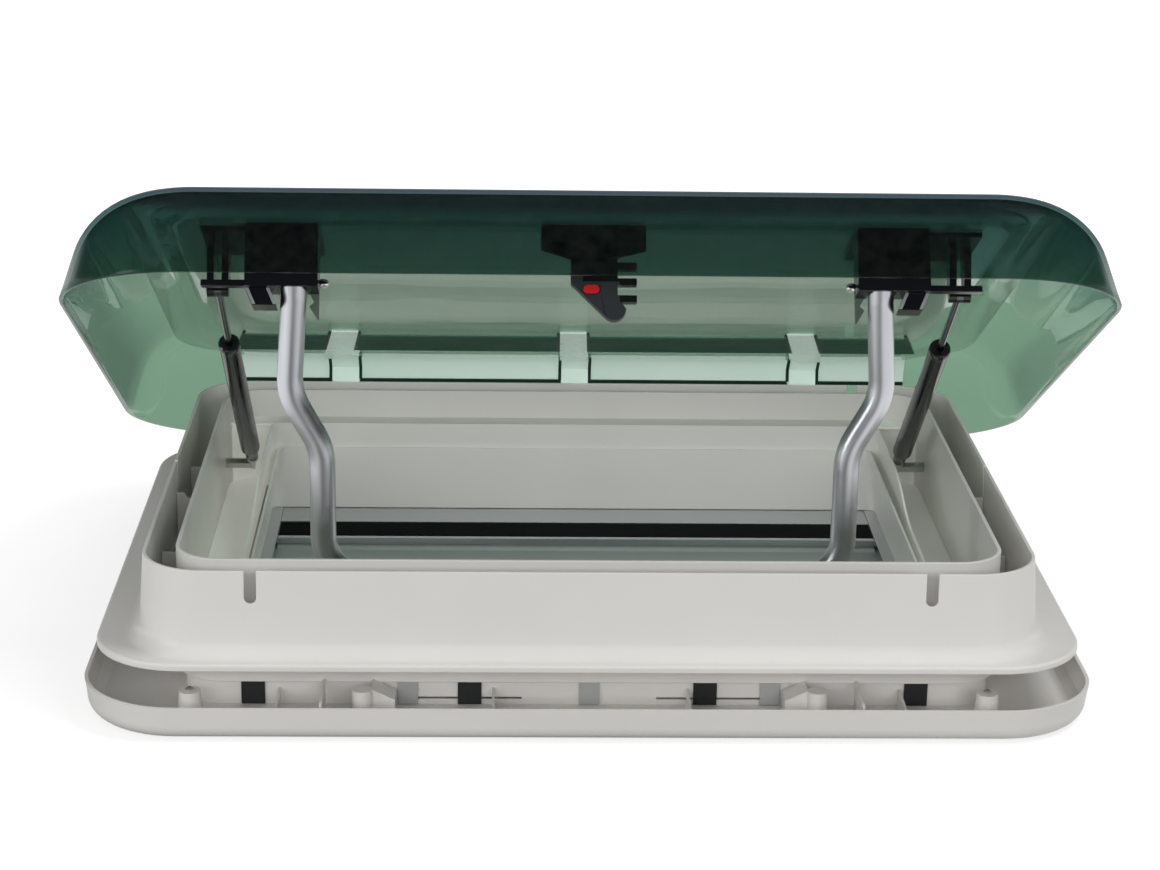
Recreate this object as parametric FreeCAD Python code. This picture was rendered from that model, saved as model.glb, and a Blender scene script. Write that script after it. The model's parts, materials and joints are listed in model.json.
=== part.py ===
"""Hinged rooflight for a caravan: roof frame, interior frame with blinds, and a tinted double dome."""
import FreeCAD
import Part
import math
import os

# Frame of the model: X runs along the hinge, +Y points to the hinge side and +Z up.
# The origin is the centre of the roof cut-out, on the roof's outer surface.
# Pieces of the dome are drawn with the dome shut and then turned open about the hinge.

# Roof cut-out and neck
cutout_length = 700.0
cutout_width = 500.0
cutout_clearance = 1.5
roof_thickness = 25.0
neck_corner = 40.0
neck_wall = 3.5
neck_below_roof = 30.0
collar_height = 79.0

# Flange and outer collar
flange_length = 829.0
flange_width = 600.0
flange_thickness = 6.0
flange_corner = 75.0
flange_edge_chamfer = 1.5
outer_collar_length = 749.0
outer_collar_width = 553.0
outer_collar_corner = 54.0
outer_collar_wall = 3.0
outer_collar_foot_spread = 4.0
foot_fillet = 14.0
collar_notch_width = 10.0
collar_notch_depth = 28.0
collar_notch_x = 281.0
dam_y = 10.0
dam_thickness = 3.0
dam_drop = 30.0
dam_notch = 5.0
gutter_rib_thickness = 2.5
gutter_rib_drop = 44.0
gutter_rib_x_shares = (-0.34, -0.17, 0.17, 0.34)
gutter_rib_y_shares = (-0.22, 0.26)

# Liner between the neck and the shaft
fit_gap = 0.3
liner_wall = 2.5
liner_ledge_height = 51.6
liner_rear_ledge = 22.0
liner_inner_half_x = 300.0
liner_draft = 8.0
liner_floor_height = -12.0
liner_front_height = 2.0
liner_low_height = 20.0
liner_step_y = 100.0
liner_step_run = 110.0
liner_inner_corner = 12.0
channel_rib_height = 10.0
channel_rib_thickness = 2.0
channel_rib_y_shares = (-0.38, -0.24, -0.1)

# Shaft of the interior frame
shaft_half_x = 293.5
shaft_top = 27.0
shaft_front_top = -3.0
shaft_draft = 9.0
shaft_wall = 2.5
shaft_corner = 10.0
shaft_front_cut = 12.0

# Interior tray
tray_length = 848.0
tray_width = 638.0
tray_height = 30.0
tray_corner = 82.0
tray_wall = 3.0
tray_edge_round = 15.0
tray_draft = 2.0
tray_opening_half_x = 285.0
tray_opening_front = -206.0
tray_opening_rear = 187.0
tray_opening_corner = 20.0
locating_wall_thickness = 2.5
locating_wall_height = 30.0
post_radius = 9.0
post_x = 333.0
post_y = 272.0
boss_x = 190.0
boss_radius = 8.5
boss_height = 25.5
screw_head_radius = 4.0
screw_head_height = 2.5
tray_rib_thickness = 2.0
tray_rib_height = 15.0
tray_tall_rib_height = 25.0
tray_rib_x_shares = (-0.374, -0.117, 0.117, 0.374)
tray_tall_rib_x_shares = (-0.32, 0.32)
tray_wedge_near = 163.0
tray_wedge_far = 182.0
tray_wedge_height = 25.0
tray_wedge_low_height = 16.0
tray_slot_near = 57.0
tray_slot_far = 158.0
tray_slot_z = -47.5
tray_slot_height = 2.0

# Clips that hold the neck's lower edge
clip_length = 20.0
clip_thickness = 2.0
clip_height = 29.5
clip_reach = 9.0
clip_x_places = (-283.0, -101.0, 98.0, 277.0)
spring_clip_length = 17.0
spring_clip_x_places = (-153.0, 0.0, 153.0)

# Blinds
rail_width = 15.0
rail_height = 16.0
rail_inner_x = 291.5
rail_wall = 1.5
rail_slot_depth = 10.0
blind_height = 6.0
blind_gap = 0.5
cassette_front = 178.0
cassette_wall = 1.5
flyscreen_stack_front = 138.0
flyscreen_bar_depth = 7.0
blackout_stack_front = 133.0
blackout_bar_depth = 58.0
grip_length = 185.0
grip_depth = 21.0
bar_tongue = 7.0
pleat_pitch = 4.0
closing_profile_depth = 15.0

# Dome
dome_length = 888.0
dome_width = 650.0
dome_corner = 115.0
dome_height = 89.3
dome_rim_height = 24.7
dome_wall = 4.0
skirt_angle = 15.0
skirt_rise = 39.3
inner_shell_wall = 3.0
inner_shell_height = 90.0
inner_shell_half_x = 354.0
inner_shell_half_y = 253.0
inner_shell_corner = 44.0
inner_shell_step = 7.0
inner_shell_flare = 4.0
inner_shell_land = 13.0
pocket_depth = 4.0
pocket_front = 165.0
pocket_rear = 236.0
pocket_land = 27.0
pocket_end = 12.0

# Dome hinge
rest_opening = 29.0
hinge_y = 292.0
hinge_z = 64.0
hinge_x_places = (-232.0, 0.0, 232.0)
hinge_arm_width = 27.0
arm_inset = 1.0
hinge_knuckle_radius = 7.0
hinge_pin_radius = 3.0
hinge_block_width = 12.0
running_gap = 0.05
side_gap = 0.3

# Corner brackets and gas struts
strut_x = 318.0
strut_top_y = -161.0
strut_top_z = 52.0
strut_foot_y = 190.0
strut_foot_z = 20.0
rod_radius = 3.25
rod_length = 185.0
piston_radius = 7.45
piston_length = 10.0
strut_cap_distance = 108.0
cylinder_radius = 9.2
cylinder_wall = 1.7
cap_radius = 9.8
cap_length = 9.0
strut_end_length = 18.0
eye_radius = 6.0
eye_width = 6.0
strut_pin_radius = 3.0
tongue_thickness = 3.0
ear_thickness = 6.0
post_ball_radius = 5.0
bracket_offset_x = -4.0
bracket_inner_x = 224.5
bracket_box_outer_x = 285.0
bracket_front_y = -239.0
bracket_plate = 4.0
bracket_box_bottom = 36.0
bracket_box_depth = 30.0
bracket_wall = 3.5
bracket_lug_drop = 14.0
bracket_lug_depth = 20.0
bracket_lug_lean = 6.0
bracket_lug_width = 20.0
bracket_outer_setback = 12.0
bracket_claw_drop = 22.0
bracket_claw_width = 8.0
bracket_claw_thickness = 4.0
bracket_claw_setback = 30.0

# Lifting bar
bar_x = 245.5
bar_shoulder_x = 250.5
bar_lower_x = 223.2
bar_pivot_y = -223.0
bar_pivot_z = 42.0
bar_tube_radius = 11.0
bar_drop = 262.0
bar_shoulder_drop = 95.0
bar_bend_angle = 29.0
bar_bend_radius = 55.0
bar_corner_radius = 40.0
bar_bolt_radius = 4.0
bar_bolt_head_radius = 3.0
bar_bolt_head_height = 6.0
bar_tube_start = 13.0

# Latch
latch_half_width = 43.7
latch_neck_left = -19.0
latch_neck_right = 13.0
latch_plate_front = -241.0
latch_plate_thickness = 3.0
latch_shoulder_z = 67.5
latch_cheek_rise = 6.0
latch_neck_z = 60.0
latch_pivot_z = 55.0
latch_pin_radius = 3.0
hook_front = -236.0
hook_thickness = 9.0
hook_left = -19.0
hook_right = 20.0
hook_nose_x = 17.0
hook_nose_z = 19.5
hook_nose_radius = 10.0
hook_shoulder_z = 41.0
prong_reach = 16.0
prong_height = 6.0
prong_z_places = (56.0, 42.5, 28.0)
button_x = -2.0
button_z = 35.5
button_half_length = 6.8
button_half_height = 3.7
button_stand_out = 2.0
button_travel_room = 3.0
striker_length = 60.0
striker_height = 24.0
striker_z = 20.0
striker_thickness = 2.0

# Worked out from the sizes above
neck_half_x = cutout_length / 2 - cutout_clearance
neck_half_y = cutout_width / 2 - cutout_clearance
neck_inner_half_x = neck_half_x - neck_wall
neck_inner_half_y = neck_half_y - neck_wall
tray_rim = -roof_thickness
tray_bottom = tray_rim - tray_height
tray_floor = tray_bottom + tray_wall
rail_top = tray_floor + rail_height
blackout_bottom = tray_floor + rail_wall + blind_gap
flyscreen_bottom = blackout_bottom + blind_height + blind_gap * 2
collar_foot_z = flange_thickness + foot_fillet
locating_wall_gap = clip_thickness + fit_gap * 2
shaft_half_y = neck_inner_half_y - fit_gap * 2 - liner_rear_ledge - shaft_wall
post_top = tray_rim - screw_head_height - fit_gap
inner_shell_second = inner_shell_height + inner_shell_step
inner_shell_flange_top = inner_shell_second + inner_shell_wall * 2
bracket_strut_outer = strut_x + eye_width / 2 + side_gap + ear_thickness
bar_room_half = bar_tube_radius + side_gap
cut_over = 5.0


def vec(x, y, z):
    return FreeCAD.Vector(x, y, z)


def opened(shape):
    """The shape turned from the shut dome to the dome's rest opening."""
    turned = shape.copy()
    turned.rotate(vec(0, hinge_y, hinge_z), vec(-1, 0, 0), rest_opening)
    return turned


def opened_point(y, z):
    """A point of the shut dome, in the YZ plane, at the rest opening."""
    angle = math.radians(rest_opening)
    dy = y - hinge_y
    dz = z - hinge_z
    new_y = hinge_y + dy * math.cos(angle) + dz * math.sin(angle)
    new_z = hinge_z - dy * math.sin(angle) + dz * math.cos(angle)
    return new_y, new_z


def arc(start, middle, end):
    return Part.Arc(start, middle, end).toShape()


def line(start, end):
    return Part.LineSegment(start, end).toShape()


def rounded_wire(half_x, half_y, radius, z, centre_y=0):
    """A rounded rectangle at one height."""
    diagonal = radius * math.sqrt(0.5)
    edges = []
    for quarter in range(4):
        angle = math.radians(90 * quarter)
        next_angle = angle + math.radians(90)
        sign_x = 1 if quarter in (0, 3) else -1
        sign_y = 1 if quarter in (0, 1) else -1
        cx = sign_x * (half_x - radius)
        cy = sign_y * (half_y - radius) + centre_y
        start = vec(cx + radius * math.cos(angle), cy + radius * math.sin(angle), z)
        middle = vec(cx + sign_x * diagonal, cy + sign_y * diagonal, z)
        end = vec(cx + radius * math.cos(next_angle), cy + radius * math.sin(next_angle), z)
        edges.append((start, middle, end))
    shapes = []
    for index, (start, middle, end) in enumerate(edges):
        shapes.append(arc(start, middle, end))
        shapes.append(line(end, edges[(index + 1) % len(edges)][0]))
    return Part.Wire(shapes)


def slab(half_x, half_y, radius, low, high, centre_y=0):
    """A rounded rectangular plate between two heights."""
    face = Part.Face(rounded_wire(half_x, half_y, radius, low, centre_y))
    return face.extrude(vec(0, 0, high - low))


def frustum(low, high, centre_y=0):
    """A drafted rounded block between two levels, each (z, half_x, half_y, radius)."""
    wires = [rounded_wire(level[1], level[2], level[3], level[0], centre_y) for level in (low, high)]
    return Part.makeLoft(wires, True, True)


def box(x_low, x_high, y_low, y_high, z_low, z_high):
    return Part.makeBox(x_high - x_low, y_high - y_low, z_high - z_low, vec(x_low, y_low, z_low))


def span(side, near, far):
    """Two distances on one side of the middle, as a low and a high value."""
    return min(side * near, side * far), max(side * near, side * far)


def fused(shapes):
    shapes = list(shapes)
    return shapes[0].multiFuse(shapes[1:]).removeSplitter() if len(shapes) > 1 else shapes[0]


def ring(half_x, half_y, corner, section):
    """A section (outward distance, height) led round a rounded rectangle."""
    pieces = []
    for turn in range(4):
        reach = half_x if turn % 2 == 0 else half_y
        run = (half_y if turn % 2 == 0 else half_x) - corner
        side = section.copy()
        side.translate(vec(reach, -run, 0))
        straight = side.extrude(vec(0, run * 2, 0))
        straight.rotate(vec(0, 0, 0), vec(0, 0, 1), 90 * turn)
        pieces.append(straight)
        bend = section.copy()
        bend.translate(vec(corner, 0, 0))
        quarter = bend.revolve(vec(0, 0, 0), vec(0, 0, 1), 90)
        quarter.rotate(vec(0, 0, 0), vec(0, 0, 1), 90 * turn)
        sign_x = 1 if turn in (0, 3) else -1
        sign_y = 1 if turn in (0, 1) else -1
        quarter.translate(vec(sign_x * (half_x - corner), sign_y * (half_y - corner), 0))
        pieces.append(quarter)
    return fused(pieces)


def polygon(points):
    return Part.makePolygon(list(points) + [points[0]])


def section_polygon(points):
    """A closed section from (outward distance, height) points."""
    return Part.Face(polygon([vec(d, 0, z) for d, z in points]))


def side_profile(points, x_low, x_high):
    """A (y, z) outline with thickness along X."""
    face = Part.Face(polygon([vec(x_low, y, z) for y, z in points]))
    return face.extrude(vec(x_high - x_low, 0, 0))


def front_profile(points, y_low, y_high):
    """An (x, z) outline with thickness along Y."""
    face = Part.Face(polygon([vec(x, y_low, z) for x, z in points]))
    return face.extrude(vec(0, y_high - y_low, 0))


def cylinder_x(radius, x_low, x_high, y, z):
    return Part.makeCylinder(radius, x_high - x_low, vec(x_low, y, z), vec(1, 0, 0))


def cylinder_y(radius, y_low, y_high, x, z):
    return Part.makeCylinder(radius, y_high - y_low, vec(x, y_low, z), vec(0, 1, 0))


def mirrored(shape):
    return shape.mirror(vec(0, 0, 0), vec(1, 0, 0))


def collar_reach(z):
    """How far the outer collar's face stands out at a height, as it spreads towards its foot."""
    return outer_collar_foot_spread * (collar_height - z) / (collar_height - collar_foot_z)


def outer_frame():
    """Flange, two collars and neck, moulded in one piece."""
    chamfer = flange_edge_chamfer
    edge_low = flange_thickness - chamfer
    plate = slab(flange_length / 2, flange_width / 2, flange_corner, 0, edge_low)
    edge = frustum((edge_low, flange_length / 2, flange_width / 2, flange_corner),
                   (flange_thickness, flange_length / 2 - chamfer, flange_width / 2 - chamfer,
                    flange_corner - chamfer))
    reach = outer_collar_foot_spread
    top = collar_height
    foot = collar_foot_z
    angle = math.radians(45)
    centre_d = reach + foot_fillet
    mid = vec(centre_d - foot_fillet * math.cos(angle), 0, foot - foot_fillet * math.sin(angle))
    wall = outer_collar_wall
    low = flange_thickness / 2
    edges = [
        line(vec(0, 0, top), vec(reach, 0, foot)),
        arc(vec(reach, 0, foot), mid, vec(centre_d, 0, flange_thickness)),
        line(vec(centre_d, 0, flange_thickness), vec(centre_d, 0, low)),
        line(vec(centre_d, 0, low), vec(reach - wall, 0, low)),
        line(vec(reach - wall, 0, low), vec(-wall, 0, top)),
        line(vec(-wall, 0, top), vec(0, 0, top)),
    ]
    outer = ring(outer_collar_length / 2, outer_collar_width / 2, outer_collar_corner,
                 Part.Face(Part.Wire(edges)))
    neck = slab(neck_half_x, neck_half_y, neck_corner, -neck_below_roof, top)
    body = fused([plate, edge, outer, neck] + gutter_ribs())
    body = body.cut(slab(neck_inner_half_x, neck_inner_half_y, neck_corner - neck_wall,
                         -neck_below_roof - cut_over, top + cut_over))
    for notch in collar_notches():
        body = body.cut(notch)
    return body


def gutter_ribs():
    """Notched dams half way along the side gutters and low ribs all round."""
    ribs = []
    overlap = outer_collar_wall / 2
    collar_inner = outer_collar_length / 2 - outer_collar_wall
    width_inner = outer_collar_width / 2 - outer_collar_wall
    low = flange_thickness / 2
    dam_top = collar_height - dam_drop
    rib_top = collar_height - gutter_rib_drop
    for side in (-1, 1):
        x_low, x_high = span(side, neck_half_x - overlap, collar_inner + overlap)
        dam = box(x_low, x_high, dam_y, dam_y + dam_thickness, low, dam_top)
        ribs.append(dam.cut(cylinder_y(dam_notch, dam_y - cut_over, dam_y + dam_thickness + cut_over,
                                       (x_low + x_high) / 2, dam_top)))
        for share in gutter_rib_y_shares:
            y = share * cutout_width
            ribs.append(box(x_low, x_high, y, y + gutter_rib_thickness, low, rib_top))
        y_low, y_high = span(side, neck_half_y - overlap, width_inner + overlap)
        for share in gutter_rib_x_shares:
            x = share * cutout_length
            ribs.append(box(x, x + gutter_rib_thickness, y_low, y_high, low, rib_top))
    return ribs


def collar_notches():
    """Open notches in the front, rear and side walls of the outer collar."""
    half = collar_notch_width / 2
    bottom = collar_height - collar_notch_depth + half
    reach = outer_collar_wall + outer_collar_foot_spread
    half_x = outer_collar_length / 2
    half_y = outer_collar_width / 2
    notches = []
    for side in (-1, 1):
        y_low, y_high = span(side, half_y - reach, half_y + reach)
        for x in (-collar_notch_x, collar_notch_x):
            slot = box(x - half, x + half, y_low, y_high, bottom, collar_height + cut_over)
            notches.append(slot.fuse(cylinder_y(half, y_low, y_high, x, bottom)))
        x_low, x_high = span(side, half_x - reach, half_x + reach)
        y_edge = dam_y + dam_thickness
        notches.append(box(x_low, x_high, y_edge, y_edge + dam_thickness, collar_height - dam_drop,
                           collar_height + cut_over))
    return notches


def liner_top_cut():
    """What the liner's side walls lose, so that they step down towards the front."""
    x = -neck_half_x
    rear = liner_step_y
    front = rear - liner_step_run
    high = liner_ledge_height
    low = liner_low_height
    quarter_y = liner_step_run / 4
    eighth_z = (high - low) / 8
    top = vec(x, rear, high)
    middle = vec(x, (rear + front) / 2, (high + low) / 2)
    bottom = vec(x, front, low)
    upper = arc(top, vec(x, rear - quarter_y, high - eighth_z), middle)
    lower = arc(middle, vec(x, front + quarter_y, low + eighth_z), bottom)
    end = vec(x, -neck_half_y, low)
    top_front = vec(x, -neck_half_y, high + cut_over)
    top_rear = vec(x, rear, high + cut_over)
    wire = Part.Wire([upper, lower, line(bottom, end), line(end, top_front), line(top_front, top_rear),
                      line(top_rear, top)])
    return Part.Face(wire).extrude(vec(neck_half_x * 2, 0, 0))


def frame_liner():
    """Ledge, side channels and inner wall that sit inside the neck."""
    outer_x = neck_inner_half_x - fit_gap
    outer_y = neck_inner_half_y - fit_gap
    corner = neck_corner - neck_wall - fit_gap
    high = liner_ledge_height
    low = liner_floor_height
    rear = outer_y - liner_rear_ledge
    wall = liner_wall
    inner_top = liner_inner_half_x
    inner_low = liner_inner_half_x + liner_draft
    r = liner_inner_corner
    inner = frustum((low - cut_over, inner_low, rear, r), (high + cut_over, inner_top, rear, r))
    hull = frustum((low, inner_low + wall, rear + wall, r + wall),
                   (high, inner_top + wall, rear + wall, r + wall))
    floor = slab(outer_x, outer_y, corner, low, low + wall)
    ledge = slab(outer_x, outer_y, corner, high - wall, high)
    ledge = ledge.common(box(-outer_x, outer_x, rear - wall, outer_y, high - wall, high))
    outer_wall = slab(outer_x, outer_y, corner, low, high)
    outer_wall = outer_wall.cut(slab(outer_x - wall, outer_y - wall, corner - wall, low, high))
    outer_wall = outer_wall.common(box(-outer_x, outer_x, rear, outer_y, low, high))
    body = fused([hull, floor, ledge, outer_wall] + channel_ribs())
    body = body.cut(inner)
    body = body.cut(liner_top_cut())
    return body.cut(box(-inner_top, inner_top, -outer_y - cut_over, -rear + r, liner_front_height,
                        high + cut_over))


def channel_ribs():
    """Low ribs across the floor of each side channel."""
    ribs = []
    low = liner_floor_height
    top = low + liner_wall + channel_rib_height
    for side in (-1, 1):
        x_low, x_high = span(side, liner_inner_half_x + liner_draft, neck_inner_half_x - fit_gap)
        for share in channel_rib_y_shares:
            y = share * cutout_width
            ribs.append(box(x_low, x_high, y, y + channel_rib_thickness, low, top))
    return ribs


def shaft_frame():
    """The interior frame's shaft: side, rear and front panels down to the blinds."""
    low = rail_top
    corner = shaft_corner
    wall = shaft_wall
    outer = frustum((low, shaft_half_x + shaft_draft + wall, shaft_half_y + wall, corner),
                    (shaft_top, shaft_half_x + wall, shaft_half_y + wall, corner))
    inner = frustum((low, shaft_half_x + shaft_draft, shaft_half_y, corner - wall),
                    (shaft_top, shaft_half_x, shaft_half_y, corner - wall))
    reach = shaft_half_x + shaft_draft + wall
    lowered = box(-reach, reach, -shaft_half_y - wall - cut_over, -shaft_half_y + shaft_front_cut,
                  shaft_front_top, shaft_top + cut_over)
    return outer.cut(inner).cut(lowered)


def interior_tray():
    """The room-side frame: rounded rim, floor with its opening, locating wall and posts."""
    half_x = tray_length / 2
    half_y = tray_width / 2
    r = tray_edge_round
    wall = tray_wall
    low = tray_bottom
    high = tray_rim
    angle = math.radians(45)
    out = -tray_draft
    centre_d = out - r
    mid = vec(centre_d + r * math.cos(angle), 0, low + r - r * math.sin(angle))
    bevel = (r - wall) * math.tan(angle / 2)
    edges = [
        line(vec(0, 0, high), vec(out, 0, low + r)),
        arc(vec(out, 0, low + r), mid, vec(centre_d, 0, low)),
        line(vec(centre_d, 0, low), vec(centre_d, 0, low + wall)),
        line(vec(centre_d, 0, low + wall), vec(centre_d + bevel, 0, low + wall)),
        line(vec(centre_d + bevel, 0, low + wall), vec(out - wall, 0, low + r - bevel)),
        line(vec(out - wall, 0, low + r - bevel), vec(-wall, 0, high)),
        line(vec(-wall, 0, high), vec(0, 0, high)),
    ]
    rim = ring(half_x, half_y, tray_corner, Part.Face(Part.Wire(edges)))
    floor = slab(half_x + centre_d, half_y + centre_d, tray_corner + centre_d, low, low + wall)
    locate_x = neck_inner_half_x - locating_wall_gap
    locate_y = neck_inner_half_y - locating_wall_gap
    thick = locating_wall_thickness
    corner = neck_corner - neck_wall - locating_wall_gap
    top = tray_floor + locating_wall_height
    locating = slab(locate_x, locate_y, corner, low, top)
    locating = locating.cut(slab(locate_x - thick, locate_y - thick, corner - thick, low, top))
    opening_mid = (tray_opening_front + tray_opening_rear) / 2
    opening_half = (tray_opening_rear - tray_opening_front) / 2
    opening = slab(tray_opening_half_x, opening_half, tray_opening_corner, low - cut_over,
                   low + wall + cut_over, opening_mid)
    body = fused([rim, floor, locating] + tray_posts() + tray_ribs() + tray_wedges()).cut(opening)
    for slot in tray_slots():
        body = body.cut(slot)
    return body


def post_places():
    return [(sx * post_x, sy * post_y) for sx in (-1, 1) for sy in (-1, 1)]


def boss_places():
    return [(sx * boss_x, sy * post_y) for sx in (-1, 1) for sy in (-1, 1)]


def tray_posts():
    """Screw posts near the corners and lower bosses along the long sides."""
    posts = []
    for x, y in post_places():
        posts.append(Part.makeCone(post_radius + tray_draft, post_radius, post_top - tray_floor,
                                   vec(x, y, tray_floor)))
    for x, y in boss_places():
        posts.append(Part.makeCylinder(boss_radius, boss_height + tray_wall, vec(x, y, tray_bottom)))
    return posts


def tray_ribs():
    """Stiffening ribs from the locating wall towards the rim."""
    ribs = []
    wall = neck_inner_half_y - locating_wall_gap
    end = tray_width / 2 - tray_edge_round
    kinds = ((tray_rib_x_shares, wall, tray_rib_height),
             (tray_tall_rib_x_shares, neck_half_y + fit_gap, tray_tall_rib_height))
    for shares, start, height in kinds:
        for share in shares:
            x = share * cutout_length
            for side in (-1, 1):
                y_low, y_high = span(side, start, end)
                ribs.append(box(x, x + tray_rib_thickness, y_low, y_high, tray_bottom, tray_floor + height))
    return ribs


def tray_wedges():
    """Sloping blocks beside the bosses."""
    wedges = []
    start = neck_half_y + fit_gap
    high = tray_floor + tray_wedge_height
    low = tray_floor + tray_wedge_low_height
    for side in (-1, 1):
        y_low, y_high = span(side, start, post_y)
        for end in (-1, 1):
            near = end * tray_wedge_near
            far = end * tray_wedge_far
            outline = [(near, tray_bottom), (far, tray_bottom), (far, high), (near, low)]
            wedges.append(front_profile(outline, y_low, y_high))
    return wedges


def tray_slots():
    """Long low slots through the locating wall along the front and rear."""
    slots = []
    start = neck_inner_half_y - locating_wall_gap - locating_wall_thickness * 2
    reach = locating_wall_thickness * 3
    for side in (-1, 1):
        y_low, y_high = span(side, start, start + reach)
        for end in (-1, 1):
            x_low, x_high = span(end, tray_slot_near, tray_slot_far)
            slots.append(box(x_low, x_high, y_low, y_high, tray_slot_z, tray_slot_z + tray_slot_height))
    return slots


def tray_screws():
    """Heads of the screws that clamp the tray to the neck."""
    return Part.makeCompound([Part.makeCylinder(screw_head_radius, screw_head_height, vec(x, y, post_top))
                              for x, y in post_places()])


def neck_clip(x_centre, length, reach):
    """One U-shaped clip over the tray's locating wall, with a longer outer leg."""
    wall_outer = -(neck_inner_half_y - locating_wall_gap)
    wall_inner = wall_outer + locating_wall_thickness
    top = tray_floor + locating_wall_height
    t = clip_thickness
    gap = fit_gap
    low = top - clip_height
    points = [(wall_outer - gap - t, low), (wall_outer - gap, low), (wall_outer - gap, top + gap),
              (wall_inner + gap, top + gap), (wall_inner + gap, low + reach),
              (wall_inner + gap + t, low + reach), (wall_inner + gap + t, top + gap + t),
              (wall_outer - gap - t, top + gap + t)]
    return side_profile(points, x_centre - length / 2, x_centre + length / 2)


def neck_clips():
    return Part.makeCompound([neck_clip(x, clip_length, clip_reach) for x in clip_x_places])


def spring_clips():
    return Part.makeCompound([neck_clip(x, spring_clip_length, clip_reach / 2) for x in spring_clip_x_places])


def blind_rail(side):
    """Aluminium side rail with one groove for each blind."""
    inner = rail_inner_x
    outer = rail_inner_x + rail_width
    rear = shaft_half_y
    body = box(inner, outer, -rear, rear, tray_floor, rail_top)
    for low in (blackout_bottom, flyscreen_bottom):
        body = body.cut(box(inner - cut_over, inner + rail_slot_depth, -rear - cut_over, rear + cut_over,
                            low - blind_gap, low + blind_height + blind_gap))
    return body if side > 0 else mirrored(body)


def blind_cassette():
    """Rear profile that the two pleated blinds fold into."""
    half = rail_inner_x - fit_gap
    top = rail_top - fit_gap
    wall = cassette_wall
    body = box(-half, half, cassette_front, shaft_half_y, tray_floor, top)
    return body.cut(box(-half, half, cassette_front - cut_over, shaft_half_y - wall, tray_floor + wall,
                        top - wall))


def closing_profile():
    """Front profile that the blinds' bars meet when pulled across."""
    half = rail_inner_x - fit_gap
    front = -shaft_half_y
    wall = cassette_wall
    top = rail_top - fit_gap
    points = [(front, tray_floor), (front + closing_profile_depth, tray_floor),
              (front + closing_profile_depth, tray_floor + wall), (front + wall, tray_floor + wall),
              (front + wall, top), (front, top)]
    return side_profile(points, -half, half)


def pleats(front, rear, low):
    """A folded stack with zigzag faces."""
    half = rail_inner_x - fit_gap * 2
    count = int((rear - front) / pleat_pitch)
    pitch = (rear - front) / count
    upper = []
    lower = []
    for index in range(count * 2 + 1):
        y = front + pitch * index / 2
        dip = 0 if index % 2 else pitch / 4
        upper.append((y, low + blind_height - dip))
        lower.append((y, low + dip))
    return side_profile(upper + lower[::-1], -half, half)


def flyscreen_bar():
    """Pull bar of the flyscreen, with its ends in the rails' grooves."""
    half = rail_inner_x - fit_gap + bar_tongue
    rear = flyscreen_stack_front
    high = flyscreen_bottom + blind_height
    return box(-half, half, rear - flyscreen_bar_depth, rear, flyscreen_bottom, high)


def blackout_bar():
    """Wide pull bar with a raised rear lip and a curved grip."""
    half = rail_inner_x - fit_gap
    rear = blackout_stack_front
    front = rear - blackout_bar_depth
    low = blackout_bottom
    middle = low + blind_height / 2
    high = low + blind_height
    plate = box(-half - bar_tongue, half + bar_tongue, front, rear, low, middle)
    start = vec(-grip_length / 2, front, middle)
    end = vec(grip_length / 2, front, middle)
    wire = Part.Wire([arc(start, vec(0, front + grip_depth, middle), end), line(end, start)])
    grip = Part.Face(wire).extrude(vec(0, 0, high - middle))
    lip = box(-half, half, rear - flyscreen_bar_depth, rear, low, high)
    return fused([plate, grip, lip])


def dome_arc(offset):
    """Centre, radius and start of the dome's shoulder, moved inwards by an offset."""
    lean = math.radians(skirt_angle)
    knee = (-skirt_rise * math.tan(lean), dome_rim_height + skirt_rise)
    radius = (dome_height - skirt_rise) / (1 - math.sin(lean))
    centre = (knee[0] - radius * math.cos(lean), knee[1] - radius * math.sin(lean))
    return centre, radius - offset


def dome_point(offset, angle):
    """A point (outward distance, height) of the shoulder at an angle above the horizontal."""
    centre, radius = dome_arc(offset)
    return centre[0] + radius * math.cos(angle), centre[1] + radius * math.sin(angle)


def dome_reach(offset, z):
    """How far out the shoulder stands at a height."""
    centre, radius = dome_arc(offset)
    return centre[0] + math.sqrt(radius ** 2 - (z - centre[1]) ** 2)


def dome_outer_shell():
    """The outer dome: leaning skirt, round shoulder and flat top."""
    lean = math.radians(skirt_angle)
    half_turn = (math.radians(90) + lean) / 2
    square = math.radians(90)
    outline = [(0, dome_rim_height), dome_point(0, lean), dome_point(0, half_turn), dome_point(0, square),
               dome_point(dome_wall, square), dome_point(dome_wall, half_turn), dome_point(dome_wall, lean),
               (-dome_wall / math.cos(lean), dome_rim_height)]
    p = [vec(d, 0, z) for d, z in outline]
    edges = [line(p[0], p[1]), arc(p[1], p[2], p[3]), line(p[3], p[4]), arc(p[4], p[5], p[6]),
             line(p[6], p[7]), line(p[7], p[0])]
    half_x = dome_length / 2
    half_y = dome_width / 2
    skirt = ring(half_x, half_y, dome_corner, Part.Face(Part.Wire(edges)))
    edge = outline[3][0]
    top = slab(half_x + edge, half_y + edge, dome_corner + edge, outline[4][1], outline[3][1])
    return opened(fused([skirt, top]))


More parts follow.
